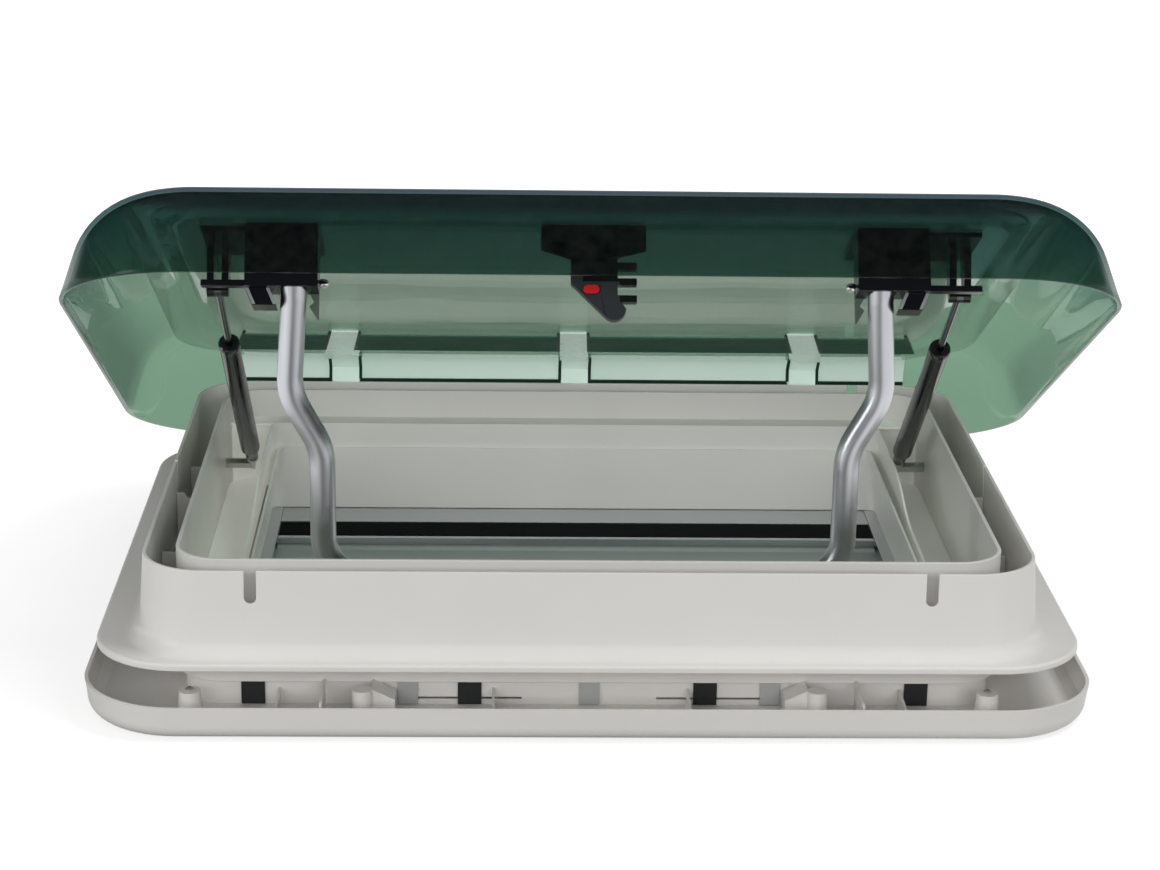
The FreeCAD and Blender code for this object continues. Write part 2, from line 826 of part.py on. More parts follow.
def dome_inner_shell():
    """The inner pane: stepped edge, bonding flange and pockets along the hinge side."""
    wall = inner_shell_wall
    low = inner_shell_height
    flare = inner_shell_flare
    x = inner_shell_half_x
    y = inner_shell_half_y
    r = inner_shell_corner
    second = inner_shell_second
    wide = flare + inner_shell_land
    land_top = second + wall
    top = inner_shell_flange_top
    bond = dome_reach(dome_wall, top) - fit_gap
    body = fused([
        frustum((low, x, y, r), (second, x + flare, y + flare, r + flare)),
        slab(x + wide, y + wide, r + wide, second, land_top),
        slab(dome_length / 2 + bond, dome_width / 2 + bond, dome_corner + bond, land_top, top),
    ])
    inner = frustum((low + wall, x - wall, y - wall, r - wall),
                    (land_top, x + flare - wall, y + flare - wall, r + flare - wall))
    upper = slab(x + wide - wall, y + wide - wall, r + wide - wall, land_top, top)
    return opened(body.cut(inner).cut(upper).fuse(shell_pockets()).removeSplitter())


def shell_pockets():
    """Four raised frames on the pane's upper face along the hinge side."""
    wall = inner_shell_wall
    low = inner_shell_height + wall
    high = low + pocket_depth
    pitch = hinge_x_places[-1] - hinge_x_places[-2]
    half = (pitch - pocket_land) / 2
    edge = inner_shell_half_x - pocket_end
    frames = []
    for side in (-1, 1):
        for middle in (pitch / 2, pitch * 3 / 2):
            x_low, x_high = span(side, middle - half, min(middle + half, edge))
            outer = box(x_low, x_high, pocket_front, pocket_rear, low, high)
            frames.append(outer.cut(box(x_low + wall, x_high - wall, pocket_front + wall, pocket_rear - wall,
                                        low, high)))
    return frames


def hinge_arm(x_centre):
    """Gooseneck arm from the pane's edge over the collar to the hinge pin."""
    half = hinge_arm_width / 2
    r = hinge_knuckle_radius
    seat = inner_shell_second
    seat_low = inner_shell_half_y + inner_shell_flare + arm_inset
    seat_high = inner_shell_half_y + inner_shell_flare + inner_shell_land - fit_gap
    over_y = outer_collar_width / 2 + arm_inset * 2
    over_z = collar_height + r
    points = [(seat_low, seat), (seat_low, seat - r / 2), (over_y, over_z), (hinge_y - r, hinge_z),
              (hinge_y + r, hinge_z), (hinge_y + r / 2, over_z + r / 3), (seat_high, seat)]
    arm = side_profile(points, x_centre - half, x_centre + half)
    arm = arm.fuse(cylinder_x(r, x_centre - half, x_centre + half, hinge_y, hinge_z))
    bore = cylinder_x(hinge_pin_radius + running_gap, x_centre - half - cut_over, x_centre + half + cut_over,
                      hinge_y, hinge_z)
    return arm.cut(bore).removeSplitter()


def hinge_arms():
    return Part.makeCompound([opened(hinge_arm(x)) for x in hinge_x_places])


def hinge_blocks():
    """Pairs of lugs on the outer collar's rear face."""
    blocks = []
    r = hinge_knuckle_radius
    low = hinge_z - r * 3
    high = hinge_z + r
    face_low = outer_collar_width / 2 + collar_reach(low)
    face_high = outer_collar_width / 2 + collar_reach(high)
    for x in hinge_x_places:
        for side in (-1, 1):
            start = hinge_arm_width / 2 + side_gap
            low_x, high_x = span(side, start, start + hinge_block_width)
            points = [(face_low, low), (hinge_y + r / 2, hinge_z - r), (hinge_y, high), (face_high, high)]
            lug = side_profile(points, x + low_x, x + high_x)
            lug = lug.fuse(cylinder_x(r, x + low_x, x + high_x, hinge_y, hinge_z))
            bore = cylinder_x(hinge_pin_radius, x + low_x - cut_over, x + high_x + cut_over, hinge_y, hinge_z)
            blocks.append(lug.cut(bore).removeSplitter())
    return Part.makeCompound(blocks)


def hinge_pins():
    reach = hinge_arm_width / 2 + side_gap + hinge_block_width
    return Part.makeCompound([cylinder_x(hinge_pin_radius, x - reach, x + reach, hinge_y, hinge_z)
                              for x in hinge_x_places])


def corner_bracket(side):
    """Bracket under the pane that carries a strut's rod and one end of the lifting bar."""
    shift = side * bracket_offset_x
    top = inner_shell_height
    plate_low = top - bracket_plate
    inner = bracket_inner_x + shift
    outer = bracket_box_outer_x + shift
    bar = bar_x + shift
    front = bracket_front_y
    rear = front + bracket_box_depth
    bottom = bracket_box_bottom
    wall = bracket_wall
    plate_rear = strut_top_y + eye_radius * 2
    plates = [box(inner, outer, front, plate_rear, plate_low, top),
              box(outer, bracket_strut_outer, front + bracket_outer_setback, plate_rear, plate_low, top)]
    housing = box(inner, outer, front, rear, bottom, plate_low)
    second = bar + bar_room_half + wall
    lug_rear = rear - bracket_lug_depth
    body = fused(plates + [housing, bracket_lug(outer, lug_rear, rear), bracket_claw(inner)]
                 + strut_ears(plate_low))
    body = body.cut(box(bar - bar_room_half, bar + bar_room_half, front + wall, rear + cut_over,
                        bottom - cut_over, plate_low))
    body = body.cut(box(second, outer - wall, front + wall, rear + cut_over, bottom + wall, plate_low))
    body = body.cut(cylinder_x(bar_bolt_radius, inner - cut_over, second, bar_pivot_y, bar_pivot_z))
    body = body.cut(cylinder_x(strut_pin_radius, strut_x - ear_thickness * 2, bracket_strut_outer + cut_over,
                               strut_top_y, strut_top_z))
    body = opened(body)
    return body if side > 0 else mirrored(body)


def bracket_lug(outer, y_low, y_high):
    """Leaning leg below the outer half of the bracket's housing."""
    high = bracket_box_bottom
    low = high - bracket_lug_drop
    lean = bracket_lug_lean
    outline = [(outer - bracket_lug_width, high + lean), (outer - bracket_lug_width, high),
               (outer - bracket_lug_width - lean, low), (outer - lean, low), (outer, high),
               (outer, high + lean)]
    return front_profile(outline, y_low, y_high)


def bracket_claw(inner):
    """Curved claw that hangs from the inner wall of the bracket's housing."""
    front = bracket_front_y + bracket_claw_setback - bracket_claw_thickness
    high = bracket_box_bottom
    tip = high - bracket_claw_drop
    wide = inner + bracket_claw_width
    waist = inner + bracket_claw_width / 2
    neck_z = high - bracket_claw_drop / 3
    belly_z = high - bracket_claw_drop / 2
    point = inner + bracket_claw_width / 8
    outline = [(inner, high + bracket_wall), (inner, tip), (point, tip), (wide, belly_z), (waist, neck_z),
               (wide, high), (wide, high + bracket_wall)]
    return front_profile(outline, front, front + bracket_claw_thickness)


def strut_ears(top):
    """Two ears either side of the rod's eye."""
    ears = []
    r = eye_radius
    y = strut_top_y
    for side in (-1, 1):
        start = eye_width / 2 + side_gap
        low, high = span(side, start, start + ear_thickness)
        points = [(y - r * 2, top), (y - r, strut_top_z), (y + r, strut_top_z), (y + r * 2, top)]
        ear = side_profile(points, strut_x + low, strut_x + high)
        ears.append(ear.fuse(cylinder_x(r, strut_x + low, strut_x + high, y, strut_top_z)))
    return ears


def pivot_bolts():
    """Bolts through the corner brackets and the lifting bar's heads."""
    end = bar_x + bar_room_half + bracket_wall
    shank = cylinder_x(bar_bolt_radius, bracket_inner_x, end, bar_pivot_y, bar_pivot_z)
    r = bar_bolt_head_radius
    start = bracket_inner_x - bar_bolt_head_height
    nose = cylinder_x(r, start, bracket_inner_x, bar_pivot_y, bar_pivot_z)
    tip = Part.makeCone(r, r / 2, r / 2, vec(start, bar_pivot_y, bar_pivot_z), vec(-1, 0, 0))
    bolt = opened(fused([shank, nose, tip]))
    both = Part.makeCompound([bolt, mirrored(bolt)])
    return both.translated(vec(bracket_offset_x, 0, 0))


def strut_pins():
    """Pins through the brackets' ears and the rods' eyes."""
    reach = eye_width / 2 + side_gap + ear_thickness
    pin = opened(cylinder_x(strut_pin_radius, strut_x - reach, strut_x + reach, strut_top_y, strut_top_z))
    return Part.makeCompound([pin, mirrored(pin)])


def strut_line():
    """Rest point of the strut's top, its length and its unit direction downwards."""
    top_y, top_z = opened_point(strut_top_y, strut_top_z)
    dy = strut_foot_y - top_y
    dz = strut_foot_z - top_z
    length = math.hypot(dy, dz)
    return (top_y, top_z), length, (dy / length, dz / length)


def along_strut(radius, start, end, side):
    """A cylinder on the strut's line between two distances from its top."""
    (top_y, top_z), length, (uy, uz) = strut_line()
    return Part.makeCylinder(radius, end - start, vec(side * strut_x, top_y + uy * start, top_z + uz * start),
                             vec(0, uy, uz))


def strut_rod(side):
    """Polished rod with the eye at its upper end and the piston at its lower one."""
    (top_y, top_z), length, direction = strut_line()
    x = side * strut_x
    half = eye_width / 2
    eye = cylinder_x(eye_radius, x - half, x + half, top_y, top_z)
    rod = along_strut(rod_radius, 0, rod_length, side)
    piston = along_strut(piston_radius, rod_length - piston_length, rod_length, side)
    bore = cylinder_x(strut_pin_radius + running_gap, x - half - cut_over, x + half + cut_over, top_y, top_z)
    body = fused([eye, rod, piston]).cut(bore)
    trim = box(x - half - cut_over, x - half, top_y - eye_radius * 2, top_y + eye_radius * 2,
               top_z - eye_radius * 2, top_z + eye_radius * 2)
    far_trim = trim.translated(vec(eye_width + cut_over, 0, 0))
    return body.cut(trim).cut(far_trim)


def strut_cylinder(side):
    """Pressure tube with its guide cap, which the rod slides through."""
    (top_y, top_z), length, (uy, uz) = strut_line()
    cap_end = strut_cap_distance + cap_length
    end = length - strut_end_length
    tube = along_strut(cylinder_radius, cap_end, end, side)
    tube = tube.cut(along_strut(cylinder_radius - cylinder_wall, cap_end - cut_over,
                                end - cylinder_wall * 2, side))
    taper = cap_length / 3
    place = vec(side * strut_x, top_y + uy * strut_cap_distance, top_z + uz * strut_cap_distance)
    nose = Part.makeCone(cap_radius - taper / 2, cap_radius, taper, place, vec(0, uy, uz))
    cap = nose.fuse(along_strut(cap_radius, strut_cap_distance + taper, cap_end, side))
    cap = cap.cut(along_strut(rod_radius + running_gap, strut_cap_distance - cut_over,
                              cap_end + cut_over, side))
    return Part.makeCompound([tube, cap.removeSplitter()])


def strut_foot(side):
    """Flat tongue on the cylinder's lower end."""
    (top_y, top_z), length, (uy, uz) = strut_line()
    half = tongue_thickness / 2
    x = side * strut_x
    base = length - strut_end_length
    neck = along_strut(eye_radius, base, base + cylinder_wall * 2, side)
    eye = cylinder_x(eye_radius, x - half, x + half, strut_foot_y, strut_foot_z)
    reach = strut_end_length * 2
    flat = box(x - half, x + half, strut_foot_y - reach, strut_foot_y + reach, strut_foot_z - reach,
               strut_foot_z + reach)
    tongue = along_strut(eye_radius, base, length, side).common(flat)
    body = fused([neck, eye, tongue])
    return body.cut(cylinder_x(strut_pin_radius, x - eye_width, x + eye_width, strut_foot_y, strut_foot_z))


def strut_posts():
    """Posts from the neck wall that the struts' feet lie against."""
    start = strut_x + tongue_thickness / 2 + side_gap
    post = cylinder_x(post_ball_radius, start, neck_inner_half_x, strut_foot_y, strut_foot_z)
    return Part.makeCompound([post, mirrored(post)])


def bent_tube(corners, radii, radius):
    """A round tube through corner points (x, z) in one plane, bent at each inner corner."""
    y, pivot_z = opened_point(bar_pivot_y, bar_pivot_z)
    points = [vec(x, y, z) for x, z in corners]
    pieces = []
    start = points[0]
    for index, bend_radius in enumerate(radii):
        corner = points[index + 1]
        inward = (points[index] - corner).normalize()
        onward = (points[index + 2] - corner).normalize()
        half = inward.getAngle(onward) / 2
        tangent = bend_radius / math.tan(half)
        first = corner + inward * tangent
        last = corner + onward * tangent
        centre = corner + (inward + onward).normalize() * (bend_radius / math.sin(half))
        pieces.append(Part.makeCylinder(radius, (first - start).Length, start, first - start))
        face = Part.Face(Part.Wire(Part.makeCircle(radius, first, inward)))
        axis = (first - centre).cross(last - centre)
        pieces.append(face.revolve(centre, axis, 180 - math.degrees(half) * 2))
        start = last
    pieces.append(Part.makeCylinder(radius, (points[-1] - start).Length, start, points[-1] - start))
    return fused(pieces)


def lifting_bar():
    """Bent tube with a stepped leg at each side and a cross piece below."""
    pivot_y, pivot_z = opened_point(bar_pivot_y, bar_pivot_z)
    r = bar_tube_radius
    top = pivot_z - bar_tube_start
    shoulder = pivot_z - bar_shoulder_drop
    spread = (bar_shoulder_x - bar_x) / (top - shoulder)
    step = (bar_shoulder_x - bar_lower_x) / math.tan(math.radians(bar_bend_angle))
    foot = pivot_z - bar_drop
    leg = [(bar_x - spread * cut_over, top + cut_over), (bar_shoulder_x, shoulder),
           (bar_lower_x, shoulder - step), (bar_lower_x, foot)]
    corners = leg + [(-x, z) for x, z in reversed(leg)]
    bends = [bar_bend_radius, bar_bend_radius, bar_corner_radius]
    tube = bent_tube(corners, bends + bends[::-1], r)
    reach = bar_x + r * 2
    tube = tube.cut(box(-reach, reach, pivot_y - r * 2, pivot_y + r * 2, top, top + cut_over * 4))
    return tube.translated(vec(bracket_offset_x, 0, 0))


def bar_heads():
    """Plugs on the bar's ends, rounded over the pivot bolts."""
    pivot_y, pivot_z = opened_point(bar_pivot_y, bar_pivot_z)
    r = bar_tube_radius
    top = cylinder_x(r, bar_x - r, bar_x + r, pivot_y, pivot_z)
    block = box(bar_x - r, bar_x + r, pivot_y - r, pivot_y + r, pivot_z - bar_tube_start, pivot_z)
    bore = cylinder_x(bar_bolt_radius + running_gap, bar_x - r - cut_over, bar_x + r + cut_over,
                      pivot_y, pivot_z)
    low = pivot_z - bar_tube_start
    stem = Part.makeCylinder(r, r + bar_tube_start, vec(bar_x, pivot_y, low))
    plug = fused([top, block]).common(stem).cut(bore)
    return Part.makeCompound([plug, mirrored(plug)]).translated(vec(bracket_offset_x, 0, 0))


def latch_bracket():
    """Wide bracket under the pane that narrows to the latch's neck."""
    wide = latch_half_width
    left = latch_neck_left
    right = latch_neck_right
    top = inner_shell_height
    front = latch_plate_front
    thick = latch_plate_thickness
    waist = hook_shoulder_z + prong_height
    outline = [(-wide, top), (-wide, latch_shoulder_z), (left, latch_neck_z), (left, waist),
               (right, waist), (right, latch_neck_z), (wide, latch_shoulder_z), (wide, top)]
    plate = front_profile(outline, front, front + thick)
    rear = hook_front + hook_thickness + thick * 3
    shelf = box(-wide, wide, front, rear, top - thick, top)
    cheeks = []
    for side in (-1, 1):
        x_low, x_high = span(side, wide - thick, wide)
        cheeks.append(box(x_low, x_high, front, rear, latch_shoulder_z + latch_cheek_rise, top))
    return opened(fused([plate, shelf] + cheeks))


def latch_pin():
    """Pin that the hook turns on."""
    rear = hook_front + hook_thickness + latch_plate_thickness
    front = latch_plate_front + latch_plate_thickness
    pin = cylinder_y(latch_pin_radius, front, rear, 0, latch_pivot_z)
    head = cylinder_y(latch_pin_radius * 2, rear - latch_plate_thickness + side_gap, rear, 0, latch_pivot_z)
    return opened(pin.fuse(head).removeSplitter())


def latch_hook():
    """Turning plate with a rounded nose below and three prongs at its side."""
    front = hook_front
    rear = front + hook_thickness
    left = hook_left
    right = hook_right
    r = hook_nose_radius
    x, z = hook_nose_x, hook_nose_z
    reach_x = left - x
    reach_z = hook_shoulder_z - z
    touch = math.atan2(reach_z, reach_x) + math.acos(r / math.hypot(reach_x, reach_z))
    bottom = (touch + math.radians(360)) / 2
    nose_left = vec(x + r * math.cos(touch), front, z + r * math.sin(touch))
    nose_bottom = vec(x + r * math.cos(bottom), front, z + r * math.sin(bottom))
    top = latch_pivot_z + r
    corners = [(left, hook_shoulder_z), (left, top), (right, top), (right, z + r), (x + r, z)]
    at = [vec(px, front, pz) for px, pz in corners]
    edges = [line(at[0], at[1]), line(at[1], at[2]), line(at[2], at[3]), line(at[3], at[4]),
             arc(at[4], nose_bottom, nose_left), line(nose_left, at[0])]
    plate = Part.Face(Part.Wire(edges)).extrude(vec(0, rear - front, 0))
    half = prong_height / 2
    prongs = [box(right - prong_height, right + prong_reach, front, rear, pz - half, pz + half)
              for pz in prong_z_places]
    body = fused([plate] + prongs)
    body = body.cut(cylinder_y(latch_pin_radius + running_gap, front - cut_over, rear + cut_over, 0,
                               latch_pivot_z))
    pocket = button_shape(side_gap, front - cut_over, front + button_travel_room + button_stand_out)
    return opened(body.cut(pocket))


def button_shape(grow, y_low, y_high):
    """The release button's rounded outline between two depths."""
    half = button_half_length + grow
    high = button_half_height + grow
    x = button_x
    reach = half - high
    core = box(x - reach, x + reach, y_low, y_high, button_z - high, button_z + high)
    ends = [cylinder_y(high, y_low, y_high, x + side * reach, button_z) for side in (-1, 1)]
    return fused([core] + ends)


def release_button():
    return opened(button_shape(0, hook_front - button_stand_out, hook_front + button_stand_out))


def latch_striker():
    """Slotted plate on the neck's front wall that the prongs catch."""
    half = striker_length / 2
    face = -neck_inner_half_y
    rear = face + striker_thickness
    body = box(-half, half, face, rear, striker_z, striker_z + striker_height)
    slot = prong_reach / 2
    for z in prong_z_places[1:]:
        body = body.cut(box(half - slot * 3, half - slot, face, rear, z - prong_height, z - prong_height / 2))
    return body


def build():
    nodes = {
        "outer_frame": outer_frame(),
        "frame_liner": frame_liner(),
        "shaft_frame": shaft_frame(),
        "interior_tray": interior_tray(),
        "tray_screws": tray_screws(),
        "neck_clips": neck_clips(),
        "spring_clips": spring_clips(),
        "blind_rail_left": blind_rail(-1),
        "blind_rail_right": blind_rail(1),
        "blind_cassette": blind_cassette(),
        "closing_profile": closing_profile(),
        "flyscreen_pleats": pleats(flyscreen_stack_front, cassette_front, flyscreen_bottom),
        "flyscreen_bar": flyscreen_bar(),
        "blackout_pleats": pleats(blackout_stack_front, cassette_front, blackout_bottom),
        "blackout_bar": blackout_bar(),
        "dome_outer_shell": dome_outer_shell(),
        "dome_inner_shell": dome_inner_shell(),
        "hinge_arms": hinge_arms(),
        "hinge_blocks": hinge_blocks(),
        "hinge_pins": hinge_pins(),
        "corner_bracket_left": corner_bracket(-1),
        "corner_bracket_right": corner_bracket(1),
        "pivot_bolts": pivot_bolts(),
        "strut_pins": strut_pins(),
        "strut_posts": strut_posts(),
        "lifting_bar": lifting_bar(),
        "bar_heads": bar_heads(),
        "latch_bracket": latch_bracket(),
        "latch_pin": latch_pin(),
        "latch_hook": latch_hook(),
        "release_button": release_button(),
        "latch_striker": latch_striker(),
    }
    for name, side in (("left", -1), ("right", 1)):
        nodes["strut_rod_" + name] = strut_rod(side)
        nodes["strut_cylinder_" + name] = strut_cylinder(side)
        nodes["strut_foot_" + name] = strut_foot(side)
    os.makedirs("parts", exist_ok=True)
    for name, shape in nodes.items():
        shape.exportStep("parts/" + name + ".step")
        print(name, len(shape.Solids), shape.isValid(), round(shape.Volume))


build()
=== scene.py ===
import json
import math

import bmesh
import bpy
from mathutils import Matrix, Vector
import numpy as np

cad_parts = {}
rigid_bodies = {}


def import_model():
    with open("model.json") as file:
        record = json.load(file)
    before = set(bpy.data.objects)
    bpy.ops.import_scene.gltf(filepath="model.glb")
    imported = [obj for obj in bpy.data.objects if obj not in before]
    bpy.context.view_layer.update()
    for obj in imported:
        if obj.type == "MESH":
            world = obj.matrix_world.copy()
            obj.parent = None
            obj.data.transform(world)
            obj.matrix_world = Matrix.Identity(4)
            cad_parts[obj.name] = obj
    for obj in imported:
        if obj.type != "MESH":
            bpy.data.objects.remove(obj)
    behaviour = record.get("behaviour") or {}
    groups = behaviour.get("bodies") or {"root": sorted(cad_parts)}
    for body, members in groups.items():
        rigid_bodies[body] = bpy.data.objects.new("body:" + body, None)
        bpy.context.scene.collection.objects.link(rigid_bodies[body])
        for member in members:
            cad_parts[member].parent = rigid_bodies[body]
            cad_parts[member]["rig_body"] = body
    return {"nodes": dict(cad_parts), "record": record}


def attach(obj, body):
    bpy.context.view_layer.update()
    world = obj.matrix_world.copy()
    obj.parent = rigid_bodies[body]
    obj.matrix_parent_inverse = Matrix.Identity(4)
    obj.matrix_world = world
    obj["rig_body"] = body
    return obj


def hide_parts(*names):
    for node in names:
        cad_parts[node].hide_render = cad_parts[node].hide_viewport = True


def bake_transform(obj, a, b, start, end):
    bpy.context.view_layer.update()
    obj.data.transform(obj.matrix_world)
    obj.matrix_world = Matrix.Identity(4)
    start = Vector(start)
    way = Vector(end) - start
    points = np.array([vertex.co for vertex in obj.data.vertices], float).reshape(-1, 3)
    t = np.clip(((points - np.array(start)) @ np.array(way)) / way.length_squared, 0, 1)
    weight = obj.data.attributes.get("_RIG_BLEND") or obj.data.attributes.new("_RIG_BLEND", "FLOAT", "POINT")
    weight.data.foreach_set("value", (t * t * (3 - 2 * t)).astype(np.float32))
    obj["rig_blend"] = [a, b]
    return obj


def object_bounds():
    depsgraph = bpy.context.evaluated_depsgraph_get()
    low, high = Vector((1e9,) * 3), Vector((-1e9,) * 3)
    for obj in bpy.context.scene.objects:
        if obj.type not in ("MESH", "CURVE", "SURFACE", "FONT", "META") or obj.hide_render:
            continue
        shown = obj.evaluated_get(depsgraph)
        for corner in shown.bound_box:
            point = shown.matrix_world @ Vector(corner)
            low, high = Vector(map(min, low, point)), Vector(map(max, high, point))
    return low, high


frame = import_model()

cad_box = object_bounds()
nodes = frame["nodes"]
slots = {part["node"]: part["material_slot"] for part in frame["record"]["subparts"]}
BRACKET_SHIFT = -0.004      # how far the corner brackets sit off the centre
CLAW_X, CLAW_Z = 0.2327, 0.2835
ARM_HALF_WIDTH = 0.0135
STRUT_X, STRUT_FOOT_Y, STRUT_FOOT_Z = 0.318, 0.190, 0.020
BLIND_REAR_Y = 0.178
BLIND_HALF_WIDTH = 0.2905
SCREW_X, SCREW_Y, SCREW_LOW, SCREW_HIGH = 0.333, 0.27199, -0.0278, -0.0253


# ---- Camera ---------------------------------------------------------------------------------------------

def make_camera():
    place = Vector((-0.0840, -2.3971, 0.8643))
    down, turn, roll = (math.radians(a) for a in (17.441, -1.931, 0.956))
    forward = Vector((0, math.cos(down), -math.sin(down)))
    right = Vector((1, 0, 0))
    up = Vector((0, math.sin(down), math.cos(down)))
    swing = Matrix.Rotation(turn, 3, "Z")
    forward, right, up = (swing @ v for v in (forward, right, up))
    right, up = (right * math.cos(roll) + up * math.sin(roll), up * math.cos(roll) - right * math.sin(roll))
    data = bpy.data.cameras.new("camera")
    data.lens = 85.44
    data.sensor_width = 36.0
    data.clip_start = 0.05
    data.clip_end = 60.0
    cam = bpy.data.objects.new("camera", data)
    bpy.context.scene.collection.objects.link(cam)
    cam.matrix_world = Matrix.Translation(place) @ Matrix((right, up, -forward)).transposed().to_4x4()
    bpy.context.scene.camera = cam


make_camera()


# ---- Node materials -------------------------------------------------------------------------------------

class Shader:
    """A new material whose nodes are added one call at a time."""

    def __init__(self, name):
        self.material = bpy.data.materials.new(name)
        self.material.use_nodes = True
        self.tree = self.material.node_tree
        self.tree.nodes.clear()
        self.place = self.add("ShaderNodeTexCoord").outputs["Object"]

    def add(self, kind, inputs=None, **settings):
        node = self.tree.nodes.new(kind)
        for key, value in settings.items():
            setattr(node, key, value)
        for key, value in (inputs or {}).items():
            if isinstance(value, bpy.types.NodeSocket):
                self.tree.links.new(value, node.inputs[key])
            else:
                node.inputs[key].default_value = value
        return node

    def noise(self, scale, detail=3.0, roughness=0.5, stretch=None):
        vector = self.place
        if stretch:
            vector = self.add("ShaderNodeMapping", {"Vector": vector, "Scale": stretch}).outputs[0]
        return self.add("ShaderNodeTexNoise", {"Vector": vector, "Scale": scale, "Detail": detail,
                                               "Roughness": roughness}).outputs["Fac"]

    def ramp(self, value, low, high, out_low, out_high):
        return self.add("ShaderNodeMapRange", {"Value": value, "From Min": low, "From Max": high,
                                               "To Min": out_low, "To Max": out_high}).outputs[0]

    def math(self, kind, first, second=0.0):
        return self.add("ShaderNodeMath", {0: first, 1: second}, operation=kind).outputs[0]

    def blend(self, factor, first, second, kind="MIX"):
        node = self.add("ShaderNodeMix", {0: factor, 6: first, 7: second}, data_type="RGBA", blend_type=kind)
        return node.outputs[2]

    def bump(self, height, strength, distance, normal=None):
        inputs = {"Height": height, "Strength": strength, "Distance": distance}
        if normal is not None:
            inputs["Normal"] = normal
        return self.add("ShaderNodeBump", inputs).outputs[0]

    def principled(self, **inputs):
        names = {"colour": "Base Color", "metallic": "Metallic", "roughness": "Roughness", "normal": "Normal",
                 "level": "Specular IOR Level", "sheen": "Sheen Weight", "glow": "Emission Strength",
                 "glow_colour": "Emission Color"}
        return self.add("ShaderNodeBsdfPrincipled", {names[k]: v for k, v in inputs.items()}).outputs[0]

    def done(self, surface):
        self.add("ShaderNodeOutputMaterial", {"Surface": surface})
        return self.material


def rgba(colour, factor=1.0):
    return (*(min(1.0, c * factor) for c in colour), 1.0)


# where the liner's painted end glow begins and where it reaches full strength
LINER_END_FROM, LINER_END_TO = 0.290, 0.312


def moulded(name, colour, roughness, grain=0.2, grain_scale=700, mottle=0.04, edge=0.25, dust=0.0, level=0.5,
            painted_end_glow=None):
    """Moulded plastic: mottling, fine grain, a painted highlight on sharp edges, dust on top and, where asked, a
    painted glow at both ends.
    """
    s = Shader(name)
    broad = s.noise(9, 4)
    fine = s.noise(grain_scale, 2)
    colour_socket = s.blend(broad, rgba(colour, 1 - mottle), rgba(colour, 1 + mottle))
    geometry = s.add("ShaderNodeNewGeometry")
    # painted highlight: sharp edges, found by pointiness, are mixed towards a paler colour, as light catching them
    # would look
    painted_edge_highlight = s.ramp(geometry.outputs["Pointiness"], 0.53, 0.62, 0.0, edge)
    colour_socket = s.blend(painted_edge_highlight, colour_socket, rgba([c * 0.6 + 0.32 for c in colour]))
    if dust:
        up = s.add("ShaderNodeSeparateXYZ", {0: geometry.outputs["Normal"]}).outputs[2]
        settled = s.math("MULTIPLY", s.ramp(up, 0.3, 1.0, 0.0, dust), s.ramp(s.noise(60, 5, 0.7), 0.4, 0.7, 0, 1))
        colour_socket = s.blend(settled, colour_socket, (0.42, 0.4, 0.36, 1))
    rough_socket = s.ramp(s.noise(35, 5), 0.3, 0.7, roughness - 0.05, roughness + 0.07)
    extra = {}
    # painted light: the liner's two ends glow in their own colour, the left end more, to brighten them as more light
    # would
    if painted_end_glow:
        at = s.add("ShaderNodeSeparateXYZ", {0: s.place}).outputs
        painted_end_glow_strength = s.math("ADD", s.ramp(at[0], -LINER_END_TO, -LINER_END_FROM, painted_end_glow[0], 0.0),
                      s.ramp(at[0], LINER_END_FROM, LINER_END_TO, 0.0, painted_end_glow[1]))
        extra = {"glow_colour": rgba(colour), "glow": painted_end_glow_strength}
    return s.done(s.principled(colour=colour_socket, roughness=rough_socket, level=level,
                               normal=s.bump(fine, grain, 0.0002), **extra))


def metal(name, colour, roughness, scratch_scale=400, stretch=(1, 1, 1), strength=0.15, spread=0.06, mottle=0.06):
    """Bare metal with fine directional scratches and faint cloudiness."""
    s = Shader(name)
    lines = s.noise(scratch_scale, 4, 0.6, stretch)
    cloud = s.noise(24, 4)
    colour_socket = s.blend(cloud, rgba(colour, 1 - mottle), rgba(colour, 1 + mottle))
    rough_socket = s.ramp(s.math("ADD", lines, cloud), 0.7, 1.3, roughness - spread, roughness + spread)
    return s.done(s.principled(colour=colour_socket, metallic=1.0, roughness=rough_socket,
                               normal=s.bump(lines, strength, 0.00008)))


EDGE_TINT = (0.10, 0.13, 0.15, 1)      # where a face is seen edge on
PAINTED_TOP_SHADE = (0.23, 0.27, 0.30, 1)       # painted shade along the open dome's upper edge
PAINTED_SHADE_FROM, PAINTED_SHADE_TO = 0.24, 0.34      # heights between which the painted shade on the skirt deepens
TOP_SHADE_FROM, TOP_SHADE_TO = 0.366, 0.371
CLEAR_FROM, CLEAR_TO = 0.262, 0.276    # where the inner pane's rear flange is clear


